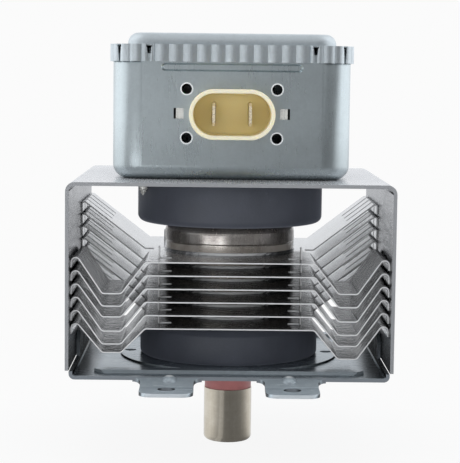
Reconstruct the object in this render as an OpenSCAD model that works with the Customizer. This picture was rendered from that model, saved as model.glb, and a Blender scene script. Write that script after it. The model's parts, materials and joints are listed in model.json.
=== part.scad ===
// Magnetron of a microwave oven, in millimetres.
// The origin is the centre of the four mounting holes, on the underside of the lugs.
// Z is the axis of the tube: the antenna points down, and the filter box sits on top.
// The connector faces -Y.

/* [Yoke] */
// Outside width of the yoke across its two walls
yoke_w = 90; // [86:1:120]
// Depth of the yoke strip
yoke_d = 80; // [72:1:110]
// Thickness of the yoke steel
yoke_t = 1; // [0.8:0.1:2]
// Outside radius of the yoke's two bends
yoke_bend_r = 2.6; // [2:0.2:5]
// Height of the walls' lower ends over the mounting plate's underside
wall_end_up = 2.4; // [1.5:0.1:3.5]

/* [Mounting plate] */
// Thickness of the plate steel
plate_t = 1; // [0.8:0.1:2]
// Step down from the plate to its four lugs
lug_drop = 2; // [1.2:0.1:4]
// Distance between the mounting holes across the tube
lug_spacing = 34; // [26:1:50]
// Width of a lug
lug_w = 14.6; // [10:0.2:20]
// Length of a lug past the plate's edge
lug_len = 13.7; // [11:0.1:20]
// Distance of a mounting hole from the plate's edge
lug_hole_out = 7.2; // [6.6:0.1:9]
// Diameter of a mounting hole
lug_hole_d = 4.6; // [3:0.1:5]
// Height of the upturned ears over the plate's top
ear_h = 8.2; // [7:0.1:10.5]
// Length of the ears
ear_len = 30; // [24:1:60]
// Diameter of the raised platform under the lower magnet
platform_d = 64; // [58:1:66]
// Rise of the platform
platform_rise = 0.5; // [0.2:0.1:0.8]
// Length of the stiffening bead along the front and back edges
bead_len = 75; // [50:1:78]
// Width of the bead
bead_w = 6; // [4:0.5:7]
// Rise of the bead
bead_rise = 0.8; // [0.4:0.1:1.2]

/* [Magnets] */
// Diameter of the upper magnet
upper_magnet_d = 54.2; // [46:0.2:55]
// Height of the upper magnet
upper_magnet_h = 12.6; // [10:0.1:16]
// Radius of the upper magnet's lower rim
upper_magnet_rim = 2; // [1:0.2:4]
// Diameter of the lower magnet
lower_magnet_d = 52.4; // [46:0.2:54]
// Height of the lower magnet
lower_magnet_h = 10.3; // [9.5:0.1:14]
// Chamfer round the lower magnet's top
lower_magnet_chamfer = 2; // [1.6:0.1:3]
// Diameter of the holes through both magnets
magnet_bore = 21; // [20:0.5:26]

/* [Cooling fins] */
// Thickness of the fin sheet
fin_t = 0.4; // [0.3:0.05:0.6]
// Distance from one fin to the next
fin_pitch = 3.68; // [3.2:0.02:4.4]
// Depth of a fin from front to back
fin_d = 70; // [58:1:78]
// How far inside the lower magnet's rim the front arms start to bend
fin_front_in = 2.8; // [1:0.1:3]
// How far inside the lower magnet's rim the rear arms start to bend
fin_rear_in = 1.2; // [1:0.1:3]
// Distance from the tube's axis to the front arms' inner edge, along the depth
fin_front_gap = 7; // [5:0.5:12]
// Run of the front arm's inner slope
fin_inner_run = 6.6; // [5:0.1:7]
// Drop of the front arm's fold
fin_drop = 8.7; // [6:0.1:9.4]
// Width of the flat at the bottom of the fold
fin_fold_w = 5.2; // [3:0.1:6]
// Slope of the rear arms, in degrees
fin_rear_slope = 37.5; // [25:0.5:38]
// Radius of the front arm's bends, at the middle of the sheet
fin_bend_r = 1.2; // [0.6:0.1:1.2]
// Radius of the rear arm's bends, at the middle of the sheet
fin_rear_bend_r = 0.5; // [0.3:0.05:0.6]
// Length of the ends that lie along the walls
fin_leg = 2.8; // [1.5:0.1:2.9]
// Width of the slits between the rear arm's fingers
fin_slit_w = 1.4; // [0.4:0.1:2]
// Distance from the tube's axis to the spacer tabs
fin_tab_x = 19.9; // [18:0.1:21]
// Distance of the spacer tabs from the fin's front and back edges
fin_tab_in = 8.5; // [1.5:0.5:11]

/* [Tube] */
// Outside diameter of the anode
anode_d = 37.4; // [36:0.2:40]
// Wall of the anode
anode_wall = 2.2; // [1.8:0.1:3]
// Length of the anode beyond the fin stack
anode_spare = 2.8; // [2.8:0.1:6]
// Thickness of a vane
vane_t = 1.9; // [1.5:0.1:2.2]
// Height of a vane
vane_h = 9.2; // [8:0.1:9.4]
// Radius inside the vanes' tips
vane_tip_r = 4.6; // [4.4:0.1:5]
// Sheet of the two seal cups
seal_t = 0.7; // [0.5:0.05:0.9]
// Height of the upper seal cup's shoulder
upper_seal_h = 5.9; // [3.8:0.1:7]
// How far the upper seal cup bulges past the anode
seal_bulge = 0.4; // [0:0.1:1]
// Height of the lower seal cup's dish
lower_seal_h = 1.6; // [1.4:0.1:2.4]
// Radius of the upper cup's shoulder
seal_shoulder_r = 2.8; // [1.2:0.1:2.8]
// Outside diameter of the cups' necks
neck_d = 19.5; // [18.4:0.1:19.6]
// Height of the neck over the yoke
neck_up = 2; // [1.5:0.1:4]
// Height of the stem's ceramic
stem_h = 10; // [8:0.5:13]

/* [Antenna] */
// Diameter of the antenna cap
antenna_d = 14.2; // [13.6:0.1:16]
// Distance from the mounting face down to the ceramic's lower end
ceramic_down = 7.2; // [6:0.1:10]
// Length of the cap
cap_len = 15.8; // [15:0.1:20]
// Rounding of the cap's end
cap_round = 1.4; // [0.8:0.1:3]
// Outside diameter of the mesh gasket
gasket_d = 32; // [28:0.5:38]
// How far the gasket stands below the mounting face
gasket_down = 2.2; // [1:0.1:2.6]

/* [Filter box] */
// Width of the box
box_w = 67; // [64:0.5:84]
// Distance from the axis to the front wall
box_front = 25.5; // [25.5:0.5:34]
// Distance from the axis to the back wall
box_back = 33; // [30:0.5:37]
// Height of the box walls over the yoke
box_h = 37.2; // [35:0.2:44]
// Sheet of the box
box_t = 0.6; // [0.5:0.1:1]
// Radius of the box's upright corners
box_corner_r = 8.5; // [8.2:0.1:11]
// Radius of the box's bottom edge
box_edge_r = 4; // [2.5:0.1:4.2]
// Height of the connector's axis over the yoke
connector_up = 18.5; // [18:0.1:21]

/* [Lid] */
// Sheet of the lid
lid_t = 0.4; // [0.3:0.05:0.6]
// Height of the fluted skirt
skirt_h = 4.8; // [3.5:0.1:6]
// Width of one flute
flute_pitch = 3.92; // [3:0.02:5]
// Depth of a flute
flute_depth = 0.5; // [0.2:0.05:0.8]
// Width of the flat rim round the raised top
lid_rim = 4; // [4:0.1:7]
// Height of the raised top over the rim
lid_rise = 3.3; // [3:0.1:6]
// Width of the slits in the skirt, at their upper end
skirt_slit_w = 1.2; // [0.5:0.1:1.6]

/* [Connector] */
// Outside width of the socket
socket_w = 23.6; // [21:0.2:26]
// Outside height of the socket
socket_h = 13.8; // [12.6:0.2:14]
// Wall of the socket
socket_wall = 1.15; // [0.9:0.05:1.6]
// Distance the socket stands out from the box
socket_out = 10.5; // [8:0.5:14]
// Distance between the two blades
blade_spacing = 10; // [8:0.2:11]
// Width of a blade
blade_w = 6.3; // [4.8:0.1:6.6]
// Thickness of a blade
blade_t = 0.8; // [0.5:0.05:1]

/* [Hidden] */
$fn = 64;
fin_count = 6;
vane_count = 10;
play = 0.05;
slide = 0.15;
past = 1;

// Levels, from the mounting face up
plate_z = lug_drop;
plate_top = plate_z + plate_t;
platform_top = plate_top + platform_rise;
lower_magnet_top = platform_top + lower_magnet_h;
anode_z = lower_magnet_top + lower_seal_h;
anode_h = (fin_count - 1) * fin_pitch + anode_spare;
anode_top = anode_z + anode_h;
upper_magnet_z = anode_top + upper_seal_h;
yoke_under = upper_magnet_z + upper_magnet_h;
yoke_top = yoke_under + yoke_t;
box_floor = yoke_top + box_t;
box_top = yoke_top + box_h;
rim_top = box_top + lid_t;
connector_z = yoke_top + connector_up;
anode_mid = anode_z + anode_h / 2;
vane_z = anode_mid - vane_h / 2;
vane_top = anode_mid + vane_h / 2;

// Yoke and plate
wall_in = yoke_w / 2 - yoke_t;
ear_out = wall_in - play;
ear_bend_r = plate_t + 0.6;
ear_flange_h = 1.2;
ear_cut = 2.5;
clinch_y = ear_len / 5;
clinch_r = 2.4;
clinch_wall = 0.4;
clinch_up = ear_h * 0.6;
half_d = yoke_d / 2;
lug_corner_r = 3.4;
lug_hole_y = half_d + lug_hole_out;
lug_root_r = 2.2;
lug_bend_r = 3;
lug_bend_from = 1;
lug_bend_to = 4.4;
lug_boss_r = 1.6;
lug_boss_h = 0.5;
lug_boss_x = lug_spacing / 2 - 0.6;
plate_hole_d = 3.4;
plate_hole_x = 29.1;
antenna_hole_r = neck_d / 2 + 0.45;
bead_in = 4.5;
bead_slope = 1.2;
stem_hole_r = neck_d / 2 + 0.75;

// Fins
fin_front_flat = lower_magnet_d / 2 - fin_front_in;
fin_rear_flat = lower_magnet_d / 2 - fin_rear_in;
fin_start = min(fin_front_flat, fin_rear_flat) - 1;
fin_below_anode = 0.2;
fin_end_x = wall_in - play - fin_t / 2;
fin_top_w = 1.75;
fin_rear_top_w = 0.95;
fin_over = 1.2;
fin_split = 1;
fin_collar_h = 1;
fin_fingers = 4;
fin_finger_share = 0.45;
fin_tab_w = 3;
fin_bend_steps = 4;
// How much shallower each fold is, on the right and on the left, from the lowest fin up
fold_trim = [[0.75, 0.7, 0.1, 0.15, 0.45, 0.45], [2, 0.7, 0.6, 0.9, 0.2, 0]];
fin_hole_r = anode_d / 2 + play;

// Tube
anode_in = anode_d / 2 - anode_wall;
pole_seat_r = anode_d / 2 - 1.4;
pole_t = 1.6;
pole_flat_r = 12;
pole_tip_r = 6.5;
pole_bore_r = 4.7;
pole_depth = 2.8;
strap_w = 0.7;
strap_h = 1;
strap_inner_r = 6;
strap_outer_r = 8.2;
strap_clear = 0.3;
neck_r = neck_d / 2;
neck_bend_r = 0.6;
hat_r = 3.4;
hat_t = 1.2;
filament_r = 2;
filament_wire = 0.5;
filament_turns = 7;
rod_r = 0.75;
rod_spread = 3.4;
side_rod_x = 2.5;
stem_z = yoke_top + neck_up;
stem_top = stem_z + stem_h;
ferrule_r = 1.3;
ferrule_h = 7;
ferrule_flange_r = 2;

// Antenna
ceramic_r = antenna_d / 2 - 0.2;
ceramic_in = ceramic_r - 2;
ceramic_top = lug_drop - 1.2;
cap_t = 0.4;
collar_r = antenna_d / 2 - cap_t - play;
collar_t = 0.5;
collar_h = 5;
exhaust_r = 1.6;
exhaust_in = 1.15;
exhaust_len = 11;
lead_r = 0.8;
lead_root_x = 9.8;
lead_hole_x = 8.9;
lead_hole_r = 2;

// Box and connector
box_mid = (box_back - box_front) / 2;
box_half_d = (box_back + box_front) / 2;
box_half_w = box_w / 2;
box_inner_front = -box_front + box_t;
rivet_hole_d = 2.9;
rivet_x = 12.6;
rivet_z = 6.8;
latch_x = 13.4;
latch_w = 2.8;
latch_h = 3;
latch_gap = 0.6;
box_lip_down = 2.2;
bead_slot_w = 39.4;
bead_slot_h = 2.3;
bead_slot_up = 31.3;
bead_slot_deep = 0.6;
bead_slot_slope = 0.5;
screw_x = 25;
screw_y = 15.3;
screw_r = 1.2;
screw_head_r = 2.7;
screw_head_h = 1.9;
screw_out = 4.4;
ground_t = 0.8;
ground_w = 42;
ground_h = 2 * (bead_slot_up - connector_up - bead_slot_h / 2 - box_t / 2 - 1);
wing_t = 1.5;
wing_h = 9;
capacitor_len = 10.5;
capacitor_w = 21;
capacitor_h = 12;
blade_in = 2.6;
blade_short = 0.8;
blade_hole_d = 1.7;
socket_floor_t = 1.6;

// Chokes
choke_x = 19;
choke_r = 4.3;
choke_wire = 1.4;
choke_turns = 8.5;
choke_y0 = -6;
choke_y1 = 19;
core_r = 3.2;

// Vectors and bent sheet
function unit(v) = v / norm(v);
function left_of(v) = [-v[1], v[0]];
function step_to(path, i) = unit(path[i] - path[i - 1]);
function mitre(path, i) =
    let (
        before = step_to(path, max(i, 1)),
        after = step_to(path, min(i + 1, len(path) - 1)),
        mean = unit(left_of(before) + left_of(after))
    )
    mean / (mean * left_of(after));
// Outline of a sheet of thickness t whose middle follows the path
function sheet(path, t) = concat(
    [for (i = [0 : len(path) - 1]) path[i] + mitre(path, i) * t / 2],
    [for (i = [len(path) - 1 : -1 : 0]) path[i] - mitre(path, i) * t / 2]
);
// Points of the bend that rounds one corner of a path
function bend(path, i, r, steps) =
    let (
        a = unit(path[i - 1] - path[i]),
        b = unit(path[i + 1] - path[i]),
        half = acos(a * b) / 2,
        centre = path[i] + unit(a + b) * r / sin(half),
        from = path[i] + a * r / tan(half) - centre,
        turn = (a[0] * b[1] - a[1] * b[0] > 0 ? -1 : 1) * (180 - 2 * half)
    )
    [for (k = [0 : steps]) let (g = turn * k / steps)
        centre + [from[0] * cos(g) - from[1] * sin(g), from[0] * sin(g) + from[1] * cos(g)]];
function rounded(path, r, steps) = concat(
    [path[0]],
    [for (i = [1 : len(path) - 2]) each bend(path, i, r, steps)],
    [path[len(path) - 1]]
);

// A round wire swept along a path of points in space
function along(path, i) = unit(path[min(i + 1, len(path) - 1)] - path[max(i - 1, 0)]);
function carried(path, i, side) =
    i == len(path) ? [] :
    let (t = along(path, i), now = unit(side - t * (side * t)))
    concat([now], carried(path, i + 1, now));
module wire(path, r, sides, first_side) {
    across = carried(path, 0, first_side);
    rings = len(path);
    points = [for (i = [0 : rings - 1]) let (t = along(path, i), u = across[i], v = cross(t, u))
        for (k = [0 : sides - 1]) path[i] + r * (u * cos(360 * k / sides) + v * sin(360 * k / sides))];
    skin = [for (i = [0 : rings - 2]) for (k = [0 : sides - 1])
        let (a = i * sides + k, b = i * sides + (k + 1) % sides)
        each [[a, a + sides, b + sides], [a, b + sides, b]]];
    ends = [
        [for (k = [0 : sides - 1]) k],
        [for (k = [sides - 1 : -1 : 0]) (rings - 1) * sides + k]
    ];
    polyhedron(points, concat(skin, ends), convexity = 10);
}

// Shapes used by several pieces
module disc_ring(outer, inner, z0, z1) {
    translate([0, 0, z0])
        linear_extrude(z1 - z0)
            difference() {
                circle(outer);
                circle(inner);
            }
}
module turned(points) {
    rotate_extrude() polygon(points);
}
module slot_2d(w, h) {
    square([w - h, h], center = true);
    for (s = [-1, 1]) translate([s * (w - h) / 2, 0]) circle(h / 2);
}
// A block that runs along Y, drawn in X and Z
module along_y(y0, y1) {
    translate([0, y1, 0]) rotate([90, 0, 0]) linear_extrude(y1 - y0) children();
}
// A block that runs along X, drawn in Y and Z
module along_x(x0, x1) {
    translate([x0, 0, 0]) rotate([90, 0, 90]) linear_extrude(x1 - x0) children();
}
// Half section of a rounded tray: reach out from its middle, height, radius of the bottom edge
module tray_side(reach, h, edge) {
    translate([0, edge]) square([reach, h - edge]);
    square([reach - edge, h]);
    translate([reach - edge, edge]) circle(edge);
}
module tray_section(reach, h, edge) {
    tray_side(reach, h, edge);
    mirror([1, 0]) tray_side(reach, h, edge);
}
// A solid tray with round upright corners and a round bottom edge
module tray(half_w, half_l, h, corner, edge) {
    inner_w = half_w - corner;
    inner_l = half_l - corner;
    along_x(-inner_w, inner_w) tray_section(half_l, h, edge);
    along_y(-inner_l, inner_l) tray_section(half_w, h, edge);
    for (turn = [0 : 3])
        translate([inner_w * (turn == 0 || turn == 3 ? 1 : -1), inner_l * (turn < 2 ? 1 : -1), 0])
            rotate(90 * turn)
                rotate_extrude(angle = 90) tray_side(corner, h, edge);
}

// Filter box
module panel_holes(slot_w) {
    translate([0, 0, connector_z])
        rotate([90, 0, 0]) {
            linear_extrude(box_front + past) slot_2d(socket_w + 2 * play, socket_h + 2 * play);
            for (x = [-rivet_x, rivet_x], z = [-rivet_z, rivet_z])
                translate([x, z, 0]) cylinder(h = box_front + past, d = rivet_hole_d);
            for (s = [-1, 1])
                translate([s * (latch_x + latch_w - slot_w / 2) - slot_w / 2, -latch_h / 2, 0])
                    cube([slot_w, latch_h, box_front + past]);
        }
}
// A long shallow press mark with sloped sides and round ends, between two depths
module pressed_slot(w, h, y0, y1, slope) {
    half = (w - h) / 2;
    translate([0, 0, yoke_top + bead_slot_up]) {
        along_x(-half, half)
            polygon([[y0, -h / 2], [y1, -h / 2 + slope], [y1, h / 2 - slope], [y0, h / 2]]);
        for (s = [-1, 1])
            translate([s * half, y1, 0])
                rotate([90, 0, 0]) cylinder(h = y1 - y0, r1 = h / 2 - slope, r2 = h / 2);
    }
}
module filter_box() {
    color([0.56, 0.59, 0.61])
        difference() {
            union() {
                difference() {
                    translate([0, box_mid, yoke_top])
                        tray(box_half_w, box_half_d, box_h - box_lip_down, box_corner_r, box_edge_r);
                    translate([0, box_mid, box_floor])
                        tray(box_half_w - box_t, box_half_d - box_t, box_h, box_corner_r - box_t,
                            box_edge_r - box_t);
                }
                pressed_slot(bead_slot_w + box_t, bead_slot_h + box_t, -box_front + box_t / 2,
                    box_inner_front + bead_slot_deep, bead_slot_slope);
            }
            pressed_slot(bead_slot_w, bead_slot_h, -box_front, -box_front + bead_slot_deep, bead_slot_slope);
            panel_holes(latch_w);
            translate([0, 0, yoke_top - past]) cylinder(h = box_t + 2 * past, r = stem_hole_r);
            for (s = [-1, 1])
                translate([s * screw_x, s * screw_y, yoke_top - past])
                    cylinder(h = box_t + 2 * past, r = screw_r + play);
        }
}

// Lid: a fluted skirt that springs over the box, a flat rim and a raised top
flute_steps = 8;
skirt_gap = play;
slit_in = box_corner_r + 1.9;
slit_foot_w = 0.4;
slit_deep = 1.6;
slit_notch_w = 1.6;
slit_notch_h = 0.8;
flute_least = 0.3;
corner_flutes = [0.25, 0.62];
// Half a side of the skirt, from its middle to the middle of a corner: the straight part, and the whole
function straight_half(half) = half - box_corner_r;
function run_half(half) = straight_half(half) + 45 * PI / 180 * (box_corner_r + skirt_gap);
// Where one flute meets the next, along that half
function flute_ends(half) =
    let (
        slit = half - slit_in,
        n = floor((slit - flute_least * flute_pitch) / flute_pitch + 0.5),
        end = run_half(half)
    )
    concat(
        [for (k = [0 : n - 1]) (k + 0.5) * flute_pitch], [slit],
        [for (share = corner_flutes) slit + (end - slit) * share], [end]
    );
function both_ways(ends) =
    concat([for (k = [len(ends) - 1 : -1 : 0]) -ends[k]], ends);
// A point of the side that faces -Y, run along it from its middle and out from the box
function on_side(run, half, reach, out) =
    let (
        straight = straight_half(half),
        r = box_corner_r + skirt_gap,
        turn = max(abs(run) - straight, 0) / r * 180 / PI,
        x = min(abs(run), straight) + (r + out) * sin(turn)
    )
    [x * sign(run), -reach + box_corner_r - (r + out) * cos(turn)];
function fluted_side(half, reach, extra) =
    let (ends = both_ways(flute_ends(half)))
    [for (i = [0 : len(ends) - 2]) for (k = [0 : flute_steps - 1])
        let (share = k / flute_steps, out = flute_depth * (1 - pow(2 * share - 1, 2)))
        on_side(ends[i] + (ends[i + 1] - ends[i]) * share, half, reach, extra + out)];
function turned_by(points, a) =
    [for (p = points) [p[0] * cos(a) - p[1] * sin(a), p[0] * sin(a) + p[1] * cos(a)]];
function skirt_outline(extra) =
    let (
        front = fluted_side(box_half_w, box_half_d, extra),
        side = fluted_side(box_half_d, box_half_w, extra)
    )
    concat(front, turned_by(side, 90), turned_by(front, 180), turned_by(side, 270));
// A slit that widens upwards to a notch in the fold, cut from outside
module skirt_slit() {
    along_y(-slit_deep, slit_deep)
        polygon([
            [-slit_foot_w / 2, -skirt_h - past], [slit_foot_w / 2, -skirt_h - past],
            [skirt_slit_w / 2, -slit_notch_h], [slit_notch_w / 2, -slit_notch_h],
            [slit_notch_w / 2, past], [-slit_notch_w / 2, past],
            [-slit_notch_w / 2, -slit_notch_h], [-skirt_slit_w / 2, -slit_notch_h]
        ]);
}
module skirt_slits() {
    inset = 0.8;
    translate([0, 0, rim_top])
        for (turn = [0 : 90 : 270]) {
            across = turn % 180 == 0;
            half = across ? box_half_w : box_half_d;
            reach = across ? box_half_d : box_half_w;
            rotate(turn) {
                for (s = [-1, 1]) translate([s * (half - slit_in), -reach - inset, 0]) skirt_slit();
                translate([straight_half(half), -straight_half(reach), 0])
                    rotate(45) translate([0, -box_corner_r - inset, 0]) skirt_slit();
            }
        }
}
module raised_top(inset, extra_h) {
    translate([0, 0, rim_top + lid_rise - inset])
        mirror([0, 0, 1])
            tray(box_half_w - lid_rim - inset, box_half_d - lid_rim - inset, lid_rise + extra_h,
                box_corner_r - 2 - inset, lid_rise - 0.4 - inset);
}
module filter_box_lid() {
    color([0.60, 0.63, 0.65])
        translate([0, box_mid, 0])
            difference() {
                union() {
                    translate([0, 0, rim_top - skirt_h])
                        linear_extrude(skirt_h) polygon(skirt_outline(lid_t));
                    raised_top(0, 0);
                }
                translate([0, 0, rim_top - skirt_h - past])
                    linear_extrude(skirt_h - lid_t + past) polygon(skirt_outline(0));
                raised_top(lid_t, past);
                skirt_slits();
            }
}

// Connector
module connector_housing() {
    wing_y = box_inner_front + ground_t;
    mouth_y = -box_front - socket_out;
    floor_y = wing_y + wing_t - socket_floor_t;
    wing_half = latch_x + latch_w / 2;
    color([0.95, 0.89, 0.71])
        translate([0, 0, connector_z])
            difference() {
                union() {
                    along_y(mouth_y, wing_y + wing_t) slot_2d(socket_w, socket_h);
                    along_y(wing_y, wing_y + wing_t) square([2 * wing_half, wing_h], center = true);
                }
                along_y(mouth_y - past, floor_y)
                    slot_2d(socket_w - 2 * socket_wall, socket_h - 2 * socket_wall);
                for (s = [-1, 1])
                    translate([s * blade_spacing / 2, 0, 0])
                        along_y(floor_y - past, wing_y + wing_t + past)
                            square([blade_t + 2 * play, blade_w + 2 * play], center = true);
            }
}
module terminal_blade(s) {
    tip_y = -box_front - socket_out + blade_short;
    back_y = box_inner_front + ground_t + wing_t + capacitor_len + blade_in;
    taper = 1.2;
    nose = blade_w / 2 - 0.9;
    color([0.86, 0.84, 0.76])
        translate([s * blade_spacing / 2 - blade_t / 2, 0, connector_z])
            difference() {
                along_x(0, blade_t)
                    polygon([
                        [tip_y, -nose], [tip_y + taper, -blade_w / 2], [back_y, -blade_w / 2],
                        [back_y, blade_w / 2], [tip_y + taper, blade_w / 2], [tip_y, nose]
                    ]);
                translate([-past, tip_y + 3.6, 0])
                    rotate([0, 90, 0]) cylinder(h = blade_t + 2 * past, d = blade_hole_d);
            }
}
module terminal_blade_left() { terminal_blade(-1); }
module terminal_blade_right() { terminal_blade(1); }
module capacitor_plate() {
    color([0.66, 0.67, 0.67])
        difference() {
            translate([0, 0, connector_z])
                along_y(box_inner_front, box_inner_front + ground_t)
                    square([ground_w, ground_h], center = true);
            panel_holes(latch_gap);
        }
}
module capacitor_body() {
    y0 = box_inner_front + ground_t + wing_t;
    color([0.86, 0.80, 0.66])
        translate([0, 0, connector_z])
            difference() {
                along_y(y0, y0 + capacitor_len) slot_2d(capacitor_w, capacitor_h);
                for (s = [-1, 1])
                    translate([s * blade_spacing / 2, 0, 0])
                        along_y(y0 - past, y0 + capacitor_len + past)
                            square([blade_t + 2 * play, blade_w + 2 * play], center = true);
            }
}

// Chokes: each wire runs from a stem terminal, round its core, to a blade's tail
choke_steps = 12;
choke_sides = 6;
function choke_path() =
    let (
        turns = choke_turns * choke_steps,
        tail_x = blade_spacing / 2 + blade_t / 2 + choke_wire / 2 + play,
        pin_x = rod_spread + ferrule_r + choke_wire / 2 + play,
        blade_end = box_inner_front + ground_t + wing_t + capacitor_len + blade_in
    )
    concat(
        [
            [pin_x, -1, stem_top + 4],
            [pin_x, 2, stem_top + 4],
            [pin_x + 1.5, 9, stem_top + 3],
            [10, choke_y1 - 2.5, connector_z - choke_r],
            [15, choke_y1, connector_z - choke_r]
        ],
        [for (k = [0 : turns]) let (a = -90 + 360 * k / choke_steps)
            [
                choke_x + choke_r * cos(a),
                choke_y1 + (choke_y0 - choke_y1) * k / turns,
                connector_z + choke_r * sin(a)
            ]],
        [
            [15, choke_y0 - 0.5, connector_z + choke_r],
            [10, blade_end + 1.2, connector_z + choke_r - 1.6],
            [tail_x + 1, blade_end - 0.4, connector_z + 1.5],
            [tail_x, blade_end - 2, connector_z + 1]
        ]
    );
module choke_coil() {
    color([0.72, 0.36, 0.17]) wire(choke_path(), choke_wire / 2, choke_sides, [0, 0, 1]);
}
module choke_coil_left() { mirror([1, 0, 0]) choke_coil(); }
module choke_coil_right() { choke_coil(); }
module choke_core(s) {
    color([0.22, 0.22, 0.24])
        translate([s * choke_x, choke_y1 - 1, connector_z])
            rotate([90, 0, 0]) cylinder(h = choke_y1 - choke_y0 - 2, r = core_r);
}
module choke_core_left() { choke_core(-1); }
module choke_core_right() { choke_core(1); }
module box_screws() {
    color([0.70, 0.69, 0.64])
        for (s = [-1, 1])
            translate([s * screw_x, s * screw_y, 0])
                difference() {
                    turned([
                        [0, yoke_under - screw_out], [screw_r, yoke_under - screw_out + 2],
                        [screw_r, box_floor], [screw_head_r, box_floor],
                        [screw_head_r, box_floor + screw_head_h * 0.5],
                        [screw_head_r * 0.6, box_floor + screw_head_h], [0, box_floor + screw_head_h]
                    ]);
                    for (turn = [0, 90])
                        translate([0, 0, box_floor + screw_head_h])
                            rotate(turn) cube([2.6, 0.6, 1.6], center = true);
                }
}

// Yoke: one strip folded into a top and two walls, clinched to the ears of the plate
module yoke_outline(inset) {
    r = yoke_bend_r - inset;
    half = yoke_w / 2 - inset;
    top = yoke_top - inset;
    low = plate_z + wall_end_up - (inset > 0 ? past : 0);
    translate([-half, low]) square([2 * half, top - r - low]);
    translate([-half + r, low]) square([2 * (half - r), top - low]);
    for (s = [-1, 1]) translate([s * (half - r), top - r]) circle(r);
}
module clinch_spots() {
    for (s = [-1, 1], y = [-clinch_y, clinch_y])
        translate([0, y, plate_top + clinch_up]) rotate([0, 90 * s, 0]) children();
}
module yoke_frame() {
    color([0.72, 0.72, 0.71])
        difference() {
            union() {
                along_y(-half_d, half_d)
                    difference() {
                        yoke_outline(0);
                        yoke_outline(yoke_t);
                    }
                clinch_spots()
                    translate([0, 0, wall_in - plate_t])
                        cylinder(h = plate_t + yoke_t / 2, r = clinch_r);
            }
            clinch_spots()
                translate([0, 0, wall_in - plate_t + clinch_wall * 2])
                    cylinder(h = plate_t + yoke_t + past, r = clinch_r - clinch_wall);
            translate([0, 0, yoke_under - past]) cylinder(h = yoke_t + 2 * past, r = stem_hole_r);
            for (s = [-1, 1])
                translate([s * screw_x, s * screw_y, yoke_under - past])
                    cylinder(h = yoke_t + 2 * past, r = screw_r + play);
        }
}

// Mounting plate
module ear_section() {
    r = ear_bend_r;
    difference() {
        union() {
            translate([0, plate_z + r]) square([ear_out, plate_t + ear_h - r]);
            translate([0, plate_z]) square([ear_out - r, plate_t + ear_h]);
            translate([ear_out - r, plate_z + r]) circle(r);
        }
        translate([0, plate_top + r - plate_t]) square([ear_out - plate_t, ear_h + r]);
        translate([0, plate_top]) square([ear_out - r, ear_h + r]);
        translate([ear_out - r, plate_z + r]) circle(r - plate_t);
    }
}
module ear_side() {
    low = plate_top + ear_flange_h;
    top = plate_top + ear_h;
    end = ear_len / 2;
    polygon([
        [-half_d, plate_z - past], [half_d, plate_z - past], [half_d, low], [end, low],
        [end, top - ear_cut], [end - ear_cut, top], [-end + ear_cut, top], [-end, top - ear_cut],
        [-end, low], [-half_d, low]
    ]);
}
module plate_ear() {
    intersection() {
        along_y(-half_d, half_d) ear_section();
        along_x(0, yoke_w / 2) ear_side();
    }
}
function lug_path() = rounded([
    [-half_d + lug_root_r + lug_bend_from, plate_z + plate_t / 2],
    [-half_d + lug_bend_from, plate_z + plate_t / 2],
    [-half_d - lug_bend_to, plate_t / 2],
    [-half_d - lug_len, plate_t / 2]
], lug_bend_r, 6);
module lug_root(s) {
    r = lug_root_r;
    translate([s * lug_w / 2, -half_d])
        difference() {
            translate([s > 0 ? 0 : -r, -r]) square([r, r + lug_bend_from]);
            translate([s * r, -r]) circle(r);
        }
}
module plate_lug() {
    r = lug_corner_r;
    w = lug_w;
    reach = w / 2 + lug_root_r;
    intersection() {
        along_x(-reach, reach) polygon(sheet(lug_path(), plate_t));
        translate([0, 0, -past])
            linear_extrude(plate_top + 2 * past) {
                translate([-w / 2, -half_d - lug_len + r]) square([w, lug_len - r + lug_bend_from]);
                translate([-w / 2 + r, -half_d - lug_len]) square([w - 2 * r, lug_len]);
                for (s = [-1, 1]) {
                    translate([s * (w / 2 - r), -half_d - lug_len + r]) circle(r);
                    lug_root(s);
                }
            }
    }
}
// A round boss pressed up over a lug's bend
module lug_boss() {
    r = (lug_boss_r * lug_boss_r + lug_boss_h * lug_boss_h) / (2 * lug_boss_h);
    over = plate_top + 2 * lug_boss_h;
    reach = 2 * lug_boss_r;
    path = lug_path();
    intersection() {
        translate([0, -half_d, plate_top + lug_boss_h - r])
            rotate_extrude()
                intersection() {
                    circle(r);
                    translate([0, -r]) square([r, 2 * r]);
                }
        along_x(-reach, reach)
            polygon(concat(path, [[-half_d - lug_len, over], [-half_d + lug_root_r + lug_bend_from, over]]));
    }
}
module edge_bead(rise, spread, z0) {
    half = bead_len / 2 + spread;
    w = bead_w / 2 + spread;
    translate([0, -half_d + bead_in + bead_w / 2, 0])
        intersection() {
            along_x(-half, half)
                polygon([
                    [-w, z0], [w, z0], [w - bead_slope, z0 + rise], [-w + bead_slope, z0 + rise]
                ]);
            translate([0, 0, z0 - past])
                linear_extrude(rise + 2 * past)
                    polygon([
                        [-half, 0], [-half + w, -w], [half - w, -w], [half, 0], [half - w, w], [-half + w, w]
                    ]);
        }
}
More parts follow.
